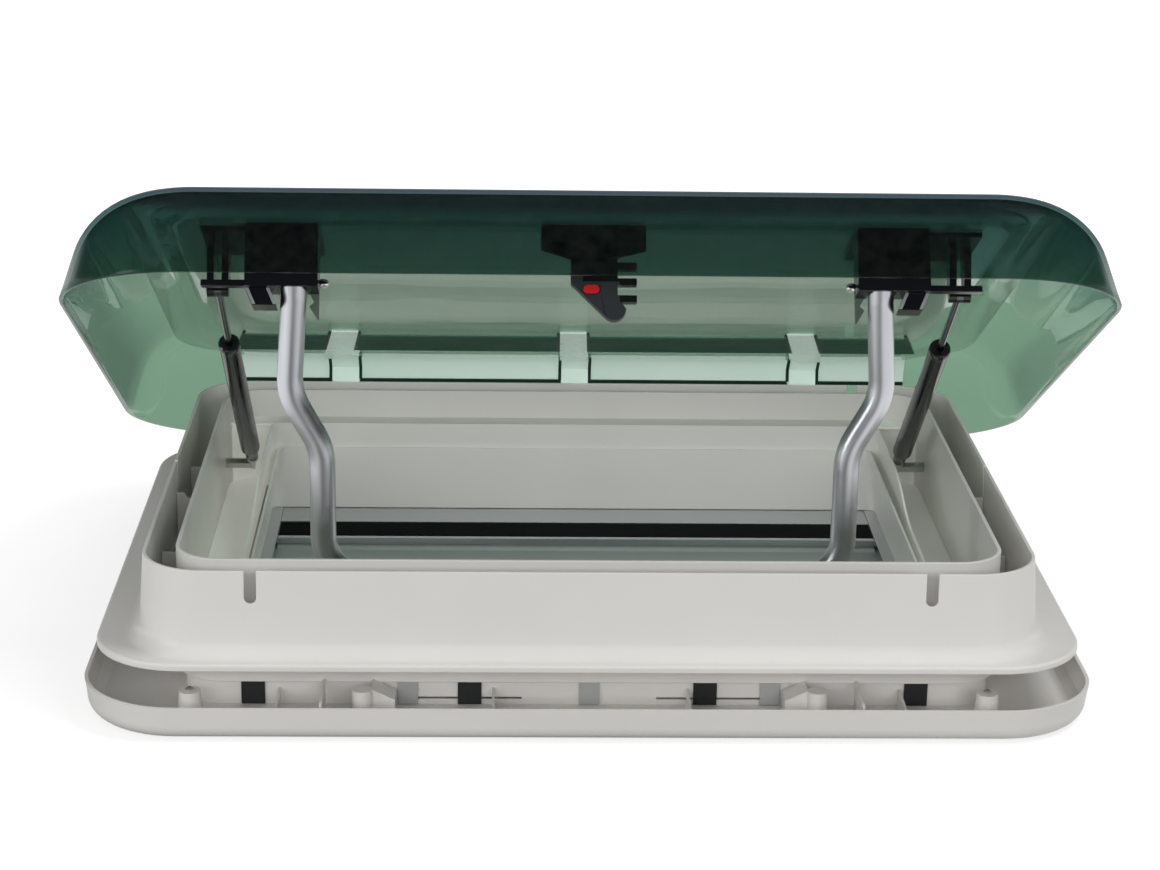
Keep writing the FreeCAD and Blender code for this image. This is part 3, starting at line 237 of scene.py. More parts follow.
def acrylic(name, tint, haze, scratches=0.5, film_share=0.0, painted_shade_tint=None):
    """Tinted clear acrylic: each face lets the tint through and reflects more at a grazing angle."""
    s = Shader(name)
    facing = s.add("ShaderNodeLayerWeight", {"Blend": 0.5}).outputs["Facing"]
    mirror = s.ramp(s.math("POWER", facing, 5.0), 0.0, 1.0, 0.04, 1.0)
    height = s.add("ShaderNodeSeparateXYZ", {0: s.place}).outputs[2]
    # on the outer dome the reflection is weakened towards the top, which keeps the painted shade there dark
    if painted_shade_tint:
        mirror = s.math("MULTIPLY", mirror, s.ramp(height, 0.27, 0.34, 1.0, 0.12))
    cloud = s.noise(7, 3)
    through = s.blend(cloud, rgba(tint, 0.96), rgba(tint, 1.04))
    if not painted_shade_tint:
        flat = s.ramp(s.add("ShaderNodeSeparateXYZ", {0: s.place}).outputs[1], CLEAR_FROM, CLEAR_TO, 1.0,
                      0.0)
        through = s.blend(flat, (0.985, 1, 0.99, 1), through)
    # painted shade: the outer dome's through-colour darkens with height on the skirt and again at its upper edge,
    # standing in for shade
    if painted_shade_tint:
        through = s.blend(s.ramp(height, PAINTED_SHADE_FROM, PAINTED_SHADE_TO, 0.0, 1.0), through, rgba(painted_shade_tint))
        through = s.blend(s.ramp(facing, 0.72, 0.95, 0.0, 1.0), through, EDGE_TINT)
        through = s.blend(s.ramp(height, TOP_SHADE_FROM, TOP_SHADE_TO, 0.0, 1.0), through, PAINTED_TOP_SHADE)
        shadow = s.add("ShaderNodeLightPath").outputs["Is Shadow Ray"]
        through = s.blend(shadow, through, rgba([c * 0.3 + 0.66 for c in tint]))
    hairlines = s.ramp(s.noise(500, 4, 0.75, (1, 0.05, 1)), 0.68, 0.8, 0.0, scratches)
    glass = s.add("ShaderNodeBsdfTransparent", {"Color": through}).outputs[0]
    flow = s.bump(s.noise(38, 3, 0.6, (1.0, 0.1, 0.1)), 0.25, 0.0006)
    ripple = s.bump(s.noise(5, 2), 0.06, 0.02, flow)
    shine = s.add("ShaderNodeBsdfGlossy", {"Color": (1, 1, 1, 1), "Roughness": s.math("ADD", haze, hairlines),
                                           "Normal": ripple}).outputs[0]
    film = s.add("ShaderNodeBsdfDiffuse", {"Color": rgba([c * 0.5 + 0.3 for c in tint])}).outputs[0]
    dusty = s.ramp(s.noise(90, 6, 0.75), 0.3, 0.8, film_share, film_share + 0.02)
    if not painted_shade_tint:
        dusty = s.math("MULTIPLY", dusty, flat)
    body = s.add("ShaderNodeMixShader", {0: dusty, 1: glass, 2: film}).outputs[0]
    return s.done(s.add("ShaderNodeMixShader", {0: mirror, 1: body, 2: shine}).outputs[0])


def frosted(name, colour, shine):
    """Milky acrylic: light from behind shows through it as well as light from the front, and a faint painted glow
    brightens it.
    """
    s = Shader(name)
    tint = s.blend(s.noise(12, 4), rgba(colour, 0.94), rgba(colour, 1.04))
    rough = s.ramp(s.noise(60, 4), 0.3, 0.7, 0.22, 0.36)
    # painted light: a faint emission in the panel's own colour stands in for more light reaching it
    front = s.principled(colour=tint, roughness=rough, level=shine, normal=s.bump(s.noise(300, 2), 0.1, 0.0002),
                         glow_colour=rgba(colour), glow=0.14)
    back = s.add("ShaderNodeBsdfTranslucent", {"Color": tint}).outputs[0]
    return s.done(s.add("ShaderNodeMixShader", {0: 0.12, 1: front, 2: back}).outputs[0])


def pleated(name, colour, thread, openness):
    """Pleated net or cloth with a fine weave."""
    s = Shader(name)
    weave_x = s.add("ShaderNodeTexWave", {"Vector": s.place, "Scale": thread, "Distortion": 0.4},
                    bands_direction="X").outputs["Fac"]
    weave_z = s.add("ShaderNodeTexWave", {"Vector": s.place, "Scale": thread, "Distortion": 0.4},
                    bands_direction="Z").outputs["Fac"]
    weave = s.math("MAXIMUM", weave_x, weave_z)
    colour_socket = s.blend(s.noise(40, 3), rgba(colour, 0.85), rgba(colour, 1.15))
    cloth = s.principled(colour=colour_socket, roughness=0.8, sheen=0.2, normal=s.bump(weave, 0.4, 0.0003))
    if not openness:
        return s.done(cloth)
    clear = s.add("ShaderNodeBsdfTransparent").outputs[0]
    gaps = s.ramp(weave, 0.5, 0.7, openness, 0.0)
    return s.done(s.add("ShaderNodeMixShader", {0: gaps, 1: cloth, 2: clear}).outputs[0])


materials = {
    "frame_white": moulded("frame_white", (0.80, 0.785, 0.755), 0.36, grain=0.12, dust=0.03),
    "liner_grey": moulded("liner_grey", (0.88, 0.885, 0.84), 0.34, grain=0.15, dust=0.02, painted_end_glow=(0.13, 0.05)),
    "grey_plastic": moulded("grey_plastic", (0.42, 0.43, 0.42), 0.42),
    "black_plastic": moulded("black_plastic", (0.010, 0.011, 0.014), 0.33, grain=0.3, edge=0.08, dust=0.03),
    "strut_black": moulded("strut_black", (0.008, 0.009, 0.010), 0.16, grain=0.05, edge=0.05),
    "red_plastic": moulded("red_plastic", (0.62, 0.015, 0.02), 0.25, grain=0.15, edge=0.1),
    "pale_acrylic": frosted("pale_acrylic", (0.86, 1.0, 0.92), 0.3),
    "satin_aluminium": metal("satin_aluminium", (0.66, 0.68, 0.71), 0.36, 900, (1, 1, 1), 0.12),
    "steel": metal("steel", (0.56, 0.55, 0.53), 0.22, 700, (1, 6, 1), 0.2),
    "black_mesh": pleated("black_mesh", (0.012, 0.012, 0.014), 900, 0.0),
    "blackout_fabric": pleated("blackout_fabric", (0.52, 0.54, 0.56), 700, 0.0),
}
outer_acrylic = acrylic("outer_acrylic", (0.43, 0.56, 0.47), 0.02, painted_shade_tint=(0.255, 0.39, 0.37))
inner_acrylic = acrylic("inner_acrylic", (0.90, 0.96, 0.92), 0.03, film_share=0.12)


def bracket_black():
    """Glossy black, with the claw that hangs from the inner wall in dark grey-green."""
    s = Shader("bracket_black")
    at = s.add("ShaderNodeSeparateXYZ", {0: s.place}).outputs
    inner = s.ramp(s.math("ABSOLUTE", s.math("SUBTRACT", at[0], BRACKET_SHIFT)), CLAW_X, CLAW_X + 0.0004,
                   1.0, 0.0)
    claw = s.math("MULTIPLY", inner, s.ramp(at[2], CLAW_Z, CLAW_Z + 0.001, 1.0, 0.0))
    tint = s.blend(s.noise(14, 4), (0.008, 0.009, 0.012, 1), (0.012, 0.013, 0.017, 1))
    tint = s.blend(claw, tint, (0.11, 0.14, 0.12, 1))
    rough = s.ramp(s.noise(40, 4), 0.3, 0.7, 0.12, 0.22)
    return s.done(s.principled(colour=tint, roughness=rough, normal=s.bump(s.noise(500, 2), 0.12, 0.0002)))


SLOT_X, SLOT_Z = -0.0092, 0.3010       # the hook's dark slot, right of and above these
COLUMN_X, COLUMN_Z = 0.0212, 0.2856    # the column that bears the prongs
SOFT = 0.0004


def hook_grey():
    """Satin dark grey plate whose prongs are black and glossier."""
    s = Shader("hook_grey")
    at = s.add("ShaderNodeSeparateXYZ", {0: s.place}).outputs
    slot = s.math("MULTIPLY", s.ramp(at[0], SLOT_X, SLOT_X + SOFT, 0.0, 1.0),
                  s.ramp(at[2], SLOT_Z, SLOT_Z + SOFT, 0.0, 1.0))
    column = s.math("MULTIPLY", s.ramp(at[0], COLUMN_X, COLUMN_X + 0.0006, 0.0, 1.0),
                    s.ramp(at[2], COLUMN_Z, COLUMN_Z + SOFT, 0.0, 1.0))
    prong = s.math("MAXIMUM", column, slot)
    tint = s.blend(s.noise(20, 4), (0.030, 0.033, 0.036, 1), (0.040, 0.044, 0.047, 1))
    tint = s.blend(prong, tint, (0.008, 0.012, 0.010, 1))
    rough = s.ramp(prong, 0.0, 1.0, 0.42, 0.16)
    return s.done(s.principled(colour=tint, roughness=rough, normal=s.bump(s.noise(600, 2), 0.25, 0.0002)))


own_finish = {
    "corner_bracket_left": bracket_black(),
    "latch_hook": hook_grey(),
    "strut_rod_left": metal("rod_chrome", (0.12, 0.135, 0.13), 0.2, 900, (1, 1, 6), 0.1),
    "blackout_bar": moulded("silver_paint", (0.47, 0.50, 0.50), 0.4, grain=0.1),
}
own_finish["strut_rod_right"] = own_finish["strut_rod_left"]
own_finish["corner_bracket_right"] = own_finish["corner_bracket_left"]
chrome = metal("chrome", (0.86, 0.86, 0.84), 0.14, 700, (1, 1, 1), 0.05)
lug_grey = moulded("lug_grey", (0.30, 0.32, 0.33), 0.35, grain=0.2)
green_strip = moulded("green_strip", (0.045, 0.135, 0.09), 0.5, grain=0.1, edge=0.1, level=0.08)
dark_edge = moulded("dark_edge", (0.012, 0.035, 0.028), 0.35, grain=0.1, edge=0.05, level=0.2)


# ---- Pieces ---------------------------------------------------------------------------------------------

def link(name, mesh, material, body, stands_for=()):
    piece = bpy.data.objects.new(name, mesh)
    bpy.context.scene.collection.objects.link(piece)
    mesh.materials.clear()
    mesh.materials.append(material)
    if body:
        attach(piece, body)
    if stands_for:
        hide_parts(*stands_for)
    return piece


def smooth(mesh, angle=40.0):
    mesh.shade_smooth()
    mesh.set_sharp_from_angle(angle=math.radians(angle))


def softened(node, width, segments=2, angle=35.0):
    """A copy of a CAD piece with its sharp edges rounded, which stands in for it."""
    source = nodes[node]
    mesh = source.data.copy()
    work = bmesh.new()
    work.from_mesh(mesh)
    bmesh.ops.remove_doubles(work, verts=work.verts, dist=2e-6)
    bmesh.ops.dissolve_limit(work, angle_limit=math.radians(0.5), verts=work.verts, edges=work.edges)
    work.to_mesh(mesh)
    work.free()
    for name in [a.name for a in mesh.attributes if a.name == "custom_normal"]:
        mesh.attributes.remove(mesh.attributes[name])
    slot = slots[node]
    finish = own_finish.get(node, materials[slot])
    piece = link("soft_" + node, mesh, finish, source["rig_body"], (node,))
    smooth(mesh, angle)
    bevel = piece.modifiers.new("edges", "BEVEL")
    bevel.width = width
    bevel.segments = segments
    bevel.limit_method = "ANGLE"
    bevel.angle_limit = math.radians(angle)
    bevel.use_clamp_overlap = True
    bevel.harden_normals = False
    weighted = piece.modifiers.new("normals", "WEIGHTED_NORMAL")
    weighted.keep_sharp = False
    return piece


def rounded_loop(half_x, half_y, radius, z, corner_steps=14, side_steps=10):
    """Points of a rounded rectangle, always as many."""
    points = []
    flat_x = half_x - radius
    flat_y = half_y - radius
    corners = ((1, 1, 0), (-1, 1, 90), (-1, -1, 180), (1, -1, 270))
    for index, (sx, sy, start) in enumerate(corners):
        centre = Vector((sx * flat_x, sy * flat_y, z))
        for step in range(corner_steps + 1):
            a = math.radians(start + 90 * step / corner_steps)
            points.append(centre + Vector((math.cos(a), math.sin(a), 0)) * radius)
        nx, ny, start = corners[(index + 1) % 4]
        a = math.radians(start)
        following = Vector((nx * flat_x, ny * flat_y, z)) + Vector((math.cos(a), math.sin(a), 0)) * radius
        last = points[-1]
        for step in range(1, side_steps):
            points.append(last.lerp(following, step / side_steps))
    return points


def loft(name, loops, close_start=False, close_end=False, place=None):
    """A mesh through loops with equal numbers of points, in order."""
    work = bmesh.new()
    rows = [[work.verts.new(place(p) if place else p) for p in loop] for loop in loops]
    count = len(rows[0])
    for low, high in zip(rows, rows[1:]):
        for i in range(count):
            j = (i + 1) % count
            work.faces.new((low[i], low[j], high[j], high[i]))
    for row, wanted in ((rows[0], close_start), (rows[-1], close_end)):
        if wanted:
            work.faces.new(row)
    bmesh.ops.recalc_face_normals(work, faces=work.faces)
    mesh = bpy.data.meshes.new(name)
    work.to_mesh(mesh)
    work.free()
    return mesh


def strip(work, first, second, stations, along="x", place=None):
    """A closed bar between two matching chains of points, carried through stations on the third axis."""
    def at(p, t):
        v = Vector((t, p[0], p[1])) if along == "x" else Vector((p[0], t, p[1]))
        return place(v) if place else v

    rows = [([work.verts.new(at(p, t)) for p in first], [work.verts.new(at(p, t)) for p in second])
            for t in stations]
    for (a, b), (c, d) in zip(rows, rows[1:]):
        for i in range(len(first) - 1):
            work.faces.new((a[i], a[i + 1], c[i + 1], c[i]))
            work.faces.new((b[i], b[i + 1], d[i + 1], d[i]))
        for i in (0, -1):
            work.faces.new((a[i], b[i], d[i], c[i]))
    for a, b in (rows[0], rows[-1]):
        for i in range(len(first) - 1):
            work.faces.new((a[i], a[i + 1], b[i + 1], b[i]))


def turned(work, profile, start, direction, steps=28):
    """A closed round piece from (distance, radius) points along a direction."""
    axis = Vector(direction).normalized()
    side = axis.orthogonal().normalized()
    other = axis.cross(side)
    rings = []
    for distance, radius in profile:
        middle = Vector(start) + axis * distance
        rings.append([work.verts.new(middle + (side * math.cos(a) + other * math.sin(a)) * radius)
                      for a in (math.tau * i / steps for i in range(steps))])
    for low, high in zip(rings, rings[1:]):
        for i in range(steps):
            j = (i + 1) % steps
            work.faces.new((low[i], low[j], high[j], high[i]))
    work.faces.new(rings[0])
    work.faces.new(rings[-1])


def made(name, work, material, body, stands_for=(), width=0.0, angle=35.0):
    """The piece that a bmesh holds, with its edges rounded where a width is given."""
    bmesh.ops.recalc_face_normals(work, faces=work.faces)
    mesh = bpy.data.meshes.new(name)
    work.to_mesh(mesh)
    work.free()
    smooth(mesh, angle)
    piece = link(name, mesh, material, body, stands_for)
    if width:
        bevel = piece.modifiers.new("edges", "BEVEL")
        bevel.width = width
        bevel.segments = 2
        bevel.limit_method = "ANGLE"
        bevel.angle_limit = math.radians(angle)
    return piece


# ---- Dome -----------------------------------------------------------------------------------------------

OPEN = math.radians(29.0)
HINGE_Y = 0.292
HINGE_Z = 0.064
DOME_X, DOME_Y, DOME_R = 0.444, 0.325, 0.115
DOME_RIM, DOME_KNEE, DOME_TOP, DOME_WALL = 0.0247, 0.064, 0.114, 0.004
LEAN = math.radians(15)


def opened(p):
    """A point of the shut dome, turned open about the hinge."""
    dy = p[1] - HINGE_Y
    dz = p[2] - HINGE_Z
    return Vector((p[0], HINGE_Y + dy * math.cos(OPEN) + dz * math.sin(OPEN),
                   HINGE_Z - dy * math.sin(OPEN) + dz * math.cos(OPEN)))


def shoulder_arc():
    """Radius and centre (outward distance, height) of the shoulder between the skirt and the pane."""
    knee = (DOME_RIM - DOME_KNEE) * math.tan(LEAN)
    radius = (DOME_TOP - DOME_KNEE) / (1 - math.sin(LEAN))
    return radius, (knee - radius * math.cos(LEAN), DOME_KNEE - radius * math.sin(LEAN))


def dome_section(offset, steps=14):
    """Outward distance and height of the skirt and shoulder, moved inwards by an offset."""
    radius, centre = shoulder_arc()
    r = radius - offset
    start = -offset / math.cos(LEAN)
    skirt = []
    end = (centre[0] + r * math.cos(LEAN), centre[1] + r * math.sin(LEAN))
    for step in range(5):
        t = step / 5
        skirt.append((start + (end[0] - start) * t, DOME_RIM + (end[1] - DOME_RIM) * t))
    shoulder = []
    for step in range(steps + 1):
        a = LEAN + (math.pi / 2 - LEAN) * step / steps
        shoulder.append((centre[0] + r * math.cos(a), centre[1] + r * math.sin(a)))
    return skirt + shoulder


def dome_loop(outward, z):
    return rounded_loop(DOME_X + outward, DOME_Y + outward, DOME_R + outward, z, 18, 12)


def crowned(loop, rise, rings=9):
    """Rings from a loop to its middle, with a slight crown."""
    inward = []
    for step in range(1, rings):
        share = 1 - step / rings
        inward.append([Vector((p.x * share, p.y * share, p.z + rise * (1 - share ** 2) ** 2)) for p in loop])
    return inward


def outer_dome():
    outer = dome_section(0)
    inner = dome_section(DOME_WALL)
    edge = 0.0008
    rim = [(inner[0][0] + edge, DOME_RIM), (outer[0][0] - edge, DOME_RIM)]
    outer[0] = (outer[0][0] - 0.0001, DOME_RIM + edge)
    inner[0] = (inner[0][0] - 0.0001, DOME_RIM + edge)
    out_loops = [dome_loop(d, z) for d, z in outer]
    in_loops = [dome_loop(d, z) for d, z in inner]
    loops = crowned(in_loops[-1], 0.002)[::-1] + in_loops[::-1] + [dome_loop(d, z) for d, z in rim] + out_loops
    loops += crowned(out_loops[-1], 0.002)
    mesh = loft("dome_pane_outer", loops, True, True, opened)
    smooth(mesh, 60)
    return link("dome_pane_outer", mesh, outer_acrylic, "dome", ("dome_outer_shell",))


def inner_dome():
    """The inner pane: flat pan, stepped edge and the flange bonded under the outer dome."""
    x, y, r = 0.354, 0.253, 0.044

    def at(outward, z, grow=0.0):
        return rounded_loop(x + outward, y + outward, r + outward, z, 18, 12)

    def flange(outward, z):
        return dome_loop(outward, z)

    reach = -0.0470
    under = [at(-0.003, 0.090), at(-0.0008, 0.0903), at(0.0, 0.0912), at(0.004, 0.0962), at(0.005, 0.097),
             at(0.016, 0.097), at(0.017, 0.0978), at(0.0172, 0.0992)]
    over = [at(0.0142, 0.1022), at(0.0138, 0.1008), at(0.013, 0.100), at(0.0022, 0.100), at(0.0012, 0.0992),
            at(-0.0028, 0.0937), at(-0.0036, 0.0931), at(-0.006, 0.093)]
    far = [flange(reach - 0.0005, 0.100), flange(reach, 0.1005), flange(reach, 0.1025), flange(reach - 0.0005, 0.103)]
    loops = crowned(under[0], 0.0, 6)[::-1] + under + far + over + crowned(over[-1], 0.0, 6)
    mesh = loft("dome_pane_inner", loops, True, True, opened)
    smooth(mesh, 60)
    return link("dome_pane_inner", mesh, inner_acrylic, "dome", ("dome_inner_shell",))


def shoulder_chain(offset, high, low, steps=10):
    """Points (y, z) of the dome's rear shoulder at an offset inwards, between two angles in degrees."""
    radius, centre = shoulder_arc()
    r = radius - offset
    angles = [math.radians(high + (low - high) * i / steps) for i in range(steps + 1)]
    return [(DOME_Y + centre[0] + r * math.cos(a), centre[1] + r * math.sin(a)) for a in angles]


def splayed(p):
    """A point of the pane, with the lands splayed towards the hinge as the photo shows them."""
    return opened(Vector((p[0] - (0.035 + 0.645 * p[0]) * (0.218 - p[1]), p[1], p[2])))


def rear_strips():
    """Dark strips on the pane, the pale panels behind them and the pale lands between, on the hinge side."""
    arms = (-0.232, 0.0, 0.232)
    lands = tuple(x - 0.003 for x in arms)
    half = ARM_HALF_WIDTH
    edge = 0.003
    end = 0.338
    low, high = 0.0885, 0.090
    band_front, band_rear = 0.142, 0.214
    green, pale, rim = bmesh.new(), bmesh.new(), bmesh.new()
    bounds = [(a + half, b - half) for a, b in zip((-end - half,) + lands, lands + (end + half,))]
    for a, b in bounds:
        for near, far in ((0.156, 0.172), (0.173, 0.189), (0.190, 0.214)):
            strip(green, [(near, high), (far, high)], [(near, low), (far, low)], (a + edge, b - edge),
                  place=splayed)
        for x in (a, b - edge):
            strip(rim, [(band_front, high), (band_rear, high)], [(band_front, low), (band_rear, low)],
                  (x, x + edge), place=splayed)
    for a, b in [(a + half, b - half) for a, b in zip((-end - half,) + arms, arms + (end + half,))]:
        strip(pale, shoulder_chain(0.0045, 64, 33), shoulder_chain(0.0060, 64, 33), (a, b), place=opened)
        strip(rim, shoulder_chain(0.0045, 32.6, 29.5, 2), shoulder_chain(0.0068, 32.6, 29.5, 2), (a, b),
              place=opened)
    for x in lands:
        strip(pale, [(0.138, high), (0.252, high)], [(0.138, low), (0.252, low)], (x - half, x + half),
              place=splayed)
    front = [(0.2579, 0.0930), (0.2783, 0.0858), (0.2818, 0.0750)]
    back = [(0.2610, 0.0945), (0.2815, 0.0873), (0.2848, 0.0760)]
    for x in arms:
        for side in (-1, 1):
            near = x + side * (half + 0.0001)
            strip(rim, front, back, sorted((near, near + side * edge)), place=opened)
    made("pane_green_strips", green, green_strip, "dome", width=0.0002)
    made("pane_pale_panels", pale, materials["pale_acrylic"], "dome", width=0.0002)
    made("pane_strip_edges", rim, dark_edge, "dome", width=0.0002)


def strut_tube(side):
    """The strut's pressure tube with its guide cap and a narrower lower end."""
    top = opened((side * STRUT_X, -0.161, 0.052))
    foot = Vector((side * STRUT_X, STRUT_FOOT_Y, STRUT_FOOT_Z))
    length = (foot - top).length
    end = length - 0.018
    r = 0.0092
    profile = [(0.108, 0.0034), (0.108, 0.0080), (0.1088, 0.0092), (0.1105, 0.0098), (0.1160, 0.0098),
               (0.1170, 0.0095), (0.1172, r), (end - 0.024, r), (end - 0.0215, 0.0086), (end - 0.0205, 0.0068),
               (end - 0.0195, 0.0063), (end - 0.001, 0.0061), (end, 0.0055)]
    work = bmesh.new()
    turned(work, profile, top, foot - top, 36)
    name = "strut_cylinder_" + ("left" if side < 0 else "right")
    made("tube_" + name, work, materials["strut_black"], nodes[name]["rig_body"], (name,), angle=30)


def small_parts_of_dome():
    """Bright noses on the pivot bolts, ribs on the brackets' lugs and shelves beside their housings."""
    nose = [(0.0, 0.0034), (0.0015, 0.0040), (0.0040, 0.0040), (0.0058, 0.0034), (0.0072, 0.0022), (0.0078, 0.0006)]
    noses, ribs, shelves = bmesh.new(), bmesh.new(), bmesh.new()
    for side in (-1, 1):
        inner = side * 0.2245 + BRACKET_SHIFT
        axis = (-side, 0, 0)
        turned(noses, nose, opened((inner - side * 0.001, -0.223, 0.042)), axis, 24)
        outer = abs(side * 0.285 + BRACKET_SHIFT)
        for x in (outer - 0.0202, outer - 0.0030):
            front = [(x, 0.0362), (x - 0.006, 0.0224)]
            back = [(x + 0.0028, 0.0362), (x - 0.0032, 0.0224)]
            chains = [[(side * a, z) for a, z in chain] for chain in (front, back)]
            strip(ribs, chains[0], chains[1], (-0.2306, -0.2294), along="y", place=opened)
        low, high = sorted((side * (outer - 0.002), side * 0.3262))
        strip(shelves, [(-0.2270, 0.0440), (-0.2150, 0.0440)], [(-0.2270, 0.0385), (-0.2150, 0.0395)],
              (low, high), place=opened)
    made("bolt_noses", noses, chrome, "dome", angle=50)
    made("lug_ribs", ribs, lug_grey, "dome", width=0.0002)
    made("bracket_shelves", shelves, own_finish["corner_bracket_left"], "dome", width=0.0006)


# ---- Blinds and screws ----------------------------------------------------------------------------------

def pleat_stack(node, body, front, low, folds):
    """A blind's fabric as one thin zigzag sheet, from its pull bar to the rear profile."""
    wall, tall = 0.0002, 0.0058
    rear = BLIND_REAR_Y - wall
    chain = []
    for step in range(folds * 2 + 1):
        chain.append((front + (rear - front) * step / (folds * 2), low + 0.0001 + (tall if step % 2 else 0.0)))
    work = bmesh.new()
    strip(work, chain, [(y + wall, z) for y, z in chain], (-BLIND_HALF_WIDTH, -0.145, 0.0, 0.145, BLIND_HALF_WIDTH))
    bmesh.ops.recalc_face_normals(work, faces=work.faces)
    mesh = bpy.data.meshes.new("folded_" + node)
    work.to_mesh(mesh)
    work.free()
    smooth(mesh, 20)
    piece = link("folded_" + node, mesh, materials[slots[node]], None, (node,))
    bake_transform(piece, "frame", body, (0, rear, low), (0, front, low))


def cross_screws():
    """Domed screw heads with a cross recess, on the tray's posts."""
    near, far = 0.0006, 0.0024
    low, high = SCREW_LOW, SCREW_HIGH
    corner = [(far, near), (near, near), (near, far)]
    cross = []
    for turn in range(4):
        a = math.pi / 2 * turn
        cross += [(x * math.cos(a) - y * math.sin(a), x * math.sin(a) + y * math.cos(a)) for x, y in corner]
    outline = []
    for a, b in zip(cross, cross[1:] + cross[:1]):
        outline += [a, ((a[0] + b[0]) / 2, (a[1] + b[1]) / 2)]
    round_shares = [(px / math.hypot(px, py), py / math.hypot(px, py)) for px, py in outline]
    work = bmesh.new()
    for x in (-SCREW_X, SCREW_X):
        for y in (-SCREW_Y, SCREW_Y):
            rows = []
            for radius, z in ((0.0039, low), (0.0040, low + 0.0004), (0.0039, high - 0.0009), (0.0032, high - 0.0002),
                              (0.0027, high)):
                rows.append([work.verts.new((x + radius * px, y + radius * py, z)) for px, py in round_shares])
            for share, z in ((1.0, high), (0.85, high - 0.0012)):
                rows.append([work.verts.new((x + px * share, y + py * share, z)) for px, py in outline])
            for one, two in zip(rows, rows[1:]):
                for i in range(len(outline)):
                    j = (i + 1) % len(outline)
                    work.faces.new((one[i], one[j], two[j], two[i]))
            work.faces.new(rows[0])
            work.faces.new(rows[-1])
    made("tray_screw_heads", work, chrome, "frame", ("tray_screws",), angle=30)


outer_dome()
inner_dome()
rear_strips()
strut_tube(-1)
strut_tube(1)
small_parts_of_dome()
pleat_stack("flyscreen_pleats", "flyscreen", 0.1380, -0.043, 32)
pleat_stack("blackout_pleats", "blackout", 0.1330, -0.050, 36)
cross_screws()


# ---- Pieces that keep their CAD shape -------------------------------------------------------------------

edge_widths = {
    "outer_frame": 0.0007, "frame_liner": 0.0006, "shaft_frame": 0.0006, "interior_tray": 0.0006,
    "neck_clips": 0.0004, "spring_clips": 0.0004, "blind_rail_left": 0.0003,
    "blind_rail_right": 0.0003, "blind_cassette": 0.0003, "closing_profile": 0.0003, "hinge_blocks": 0.0005,
    "hinge_pins": 0.0002, "strut_posts": 0.0003, "latch_striker": 0.0003,
    "hinge_arms": 0.0006, "corner_bracket_left": 0.0006, "corner_bracket_right": 0.0006,
    "pivot_bolts": 0.0004, "strut_pins": 0.0002, "latch_bracket": 0.0006, "latch_pin": 0.0002,
    "lifting_bar": 0.0, "bar_heads": 0.0004, "latch_hook": 0.0008, "release_button": 0.0005,
    "strut_rod_left": 0.0003, "strut_rod_right": 0.0003, "strut_foot_left": 0.0003, "strut_foot_right": 0.0003,
    "flyscreen_bar": 0.0004, "blackout_bar": 0.0004,
}
for node, width in edge_widths.items():
    if width:
        softened(node, width)
    else:
        mesh = nodes[node].data
        mesh.materials.clear()
        mesh.materials.append(materials[slots[node]])


# ---- Floor, backdrop and light --------------------------------------------------------------------------

LAMP_TARGET = Vector((0, 0, 0.1))


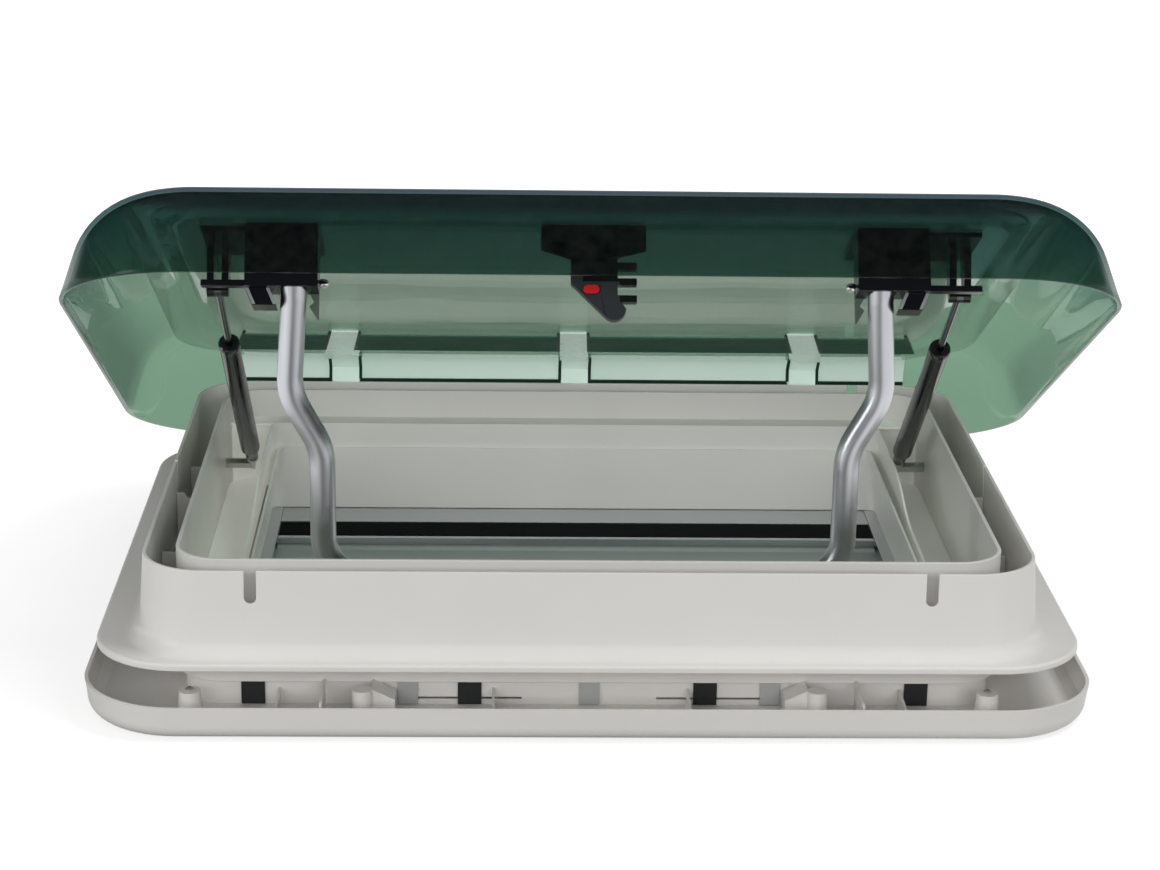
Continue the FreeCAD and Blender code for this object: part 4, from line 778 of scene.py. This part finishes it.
def studio():
    scene = bpy.context.scene
    scene.view_settings.view_transform = "Standard"
    scene.cycles.transparent_max_bounces = 24
    floor_shader = Shader("floor")
    seen = floor_shader.add("ShaderNodeLightPath").outputs
    at = floor_shader.add("ShaderNodeSeparateXYZ", {0: floor_shader.place}).outputs
    away = floor_shader.add("ShaderNodeVectorMath", {0: floor_shader.place}, operation="LENGTH").outputs["Value"]
    glow = floor_shader.math("MULTIPLY", seen["Is Camera Ray"], floor_shader.ramp(away, 0.5, 1.2, 0.72, 1.0))
    matt = floor_shader.add("ShaderNodeBsdfDiffuse", {"Color": (0.42, 0.42, 0.42, 1)}).outputs[0]
    light = floor_shader.add("ShaderNodeEmission", {"Color": (1, 1, 1, 1), "Strength": glow}).outputs[0]
    seen_floor = floor_shader.add("ShaderNodeAddShader", {0: matt, 1: light}).outputs[0]
    left = floor_shader.ramp(at[0], -0.60, -0.34, 1.0, 0.2)
    right = floor_shader.ramp(at[0], 0.10, 0.40, 0.0, 0.8)
    rear = floor_shader.ramp(at[1], -0.35, 0.1, 0.0, 0.8)
    sides = floor_shader.math("MAXIMUM", floor_shader.math("ADD", left, right), rear)
    mirrored = floor_shader.add("ShaderNodeEmission", {"Color": (1, 1, 1, 1), "Strength": sides}).outputs[0]
    floor_material = floor_shader.done(floor_shader.add("ShaderNodeMixShader", {
        0: seen["Is Glossy Ray"], 1: seen_floor, 2: mirrored}).outputs[0])
    work = bmesh.new()
    bmesh.ops.create_grid(work, x_segments=2, y_segments=2, size=12.0)
    mesh = bpy.data.meshes.new("floor")
    work.to_mesh(mesh)
    work.free()
    mesh.materials.append(floor_material)
    floor = bpy.data.objects.new("floor", mesh)
    floor.location = (0, 0, cad_box[0].z - 0.0002)
    scene.collection.objects.link(floor)

    world = bpy.data.worlds.new("studio")
    world.use_nodes = True
    scene.world = world
    tree = world.node_tree
    tree.nodes.clear()

    def add(kind, inputs=None, **settings):
        node = tree.nodes.new(kind)
        for key, value in settings.items():
            setattr(node, key, value)
        for key, value in (inputs or {}).items():
            if isinstance(value, bpy.types.NodeSocket):
                tree.links.new(value, node.inputs[key])
            else:
                node.inputs[key].default_value = value
        return node

    seen = add("ShaderNodeLightPath").outputs
    through = add("ShaderNodeMath", {0: seen["Is Camera Ray"], 1: seen["Is Transmission Ray"]}, operation="MAXIMUM")
    direction = add("ShaderNodeTexCoord").outputs["Generated"]
    parts = add("ShaderNodeSeparateXYZ", {0: direction}).outputs
    low = add("ShaderNodeMapRange", {"Value": parts[2], "From Min": 0.02, "From Max": 0.14, "To Min": 1.0,
                                     "To Max": 0.05}, interpolation_type="SMOOTHSTEP").outputs[0]
    behind = add("ShaderNodeMapRange", {"Value": parts[1], "From Min": -0.3, "From Max": 0.2, "To Min": 0.25,
                                        "To Max": 1.0}, interpolation_type="SMOOTHSTEP").outputs[0]
    mirror = add("ShaderNodeMath", {0: low, 1: behind}, operation="MULTIPLY").outputs[0]
    mirrored = add("ShaderNodeMath", {0: seen["Is Glossy Ray"], 1: mirror}, operation="MULTIPLY").outputs[0]
    direct = add("ShaderNodeMath", {0: through.outputs[0], 1: mirrored}, operation="MAXIMUM").outputs[0]
    plain = add("ShaderNodeMath", {0: seen["Is Diffuse Ray"], 1: 0.34}, operation="MULTIPLY").outputs[0]
    strength = add("ShaderNodeMath", {0: direct, 1: plain}, operation="MAXIMUM").outputs[0]
    shade = add("ShaderNodeBackground", {"Color": (1, 1, 1, 1), "Strength": strength}).outputs[0]
    add("ShaderNodeOutputWorld", {"Surface": shade})

    def lamp(name, place, size, power, mirrored):
        data = bpy.data.lights.new(name, "AREA")
        data.shape = "RECTANGLE"
        data.size, data.size_y = size
        data.energy = power
        light = bpy.data.objects.new(name, data)
        scene.collection.objects.link(light)
        light.location = place
        light.rotation_mode = "QUATERNION"
        light.rotation_quaternion = (LAMP_TARGET - Vector(place)).to_track_quat("-Z", "Y")
        light.visible_glossy = mirrored

    lamp("front_box", (-0.2, -6.0, 2.2), (8.0, 1.6), 165, False)
    lamp("left_box", (-2.7, -1.7, 0.9), (0.9, 1.2), 14, True)
    lamp("right_box", (1.6, -0.4, 2.8), (0.9, 1.2), 34, False)


studio()
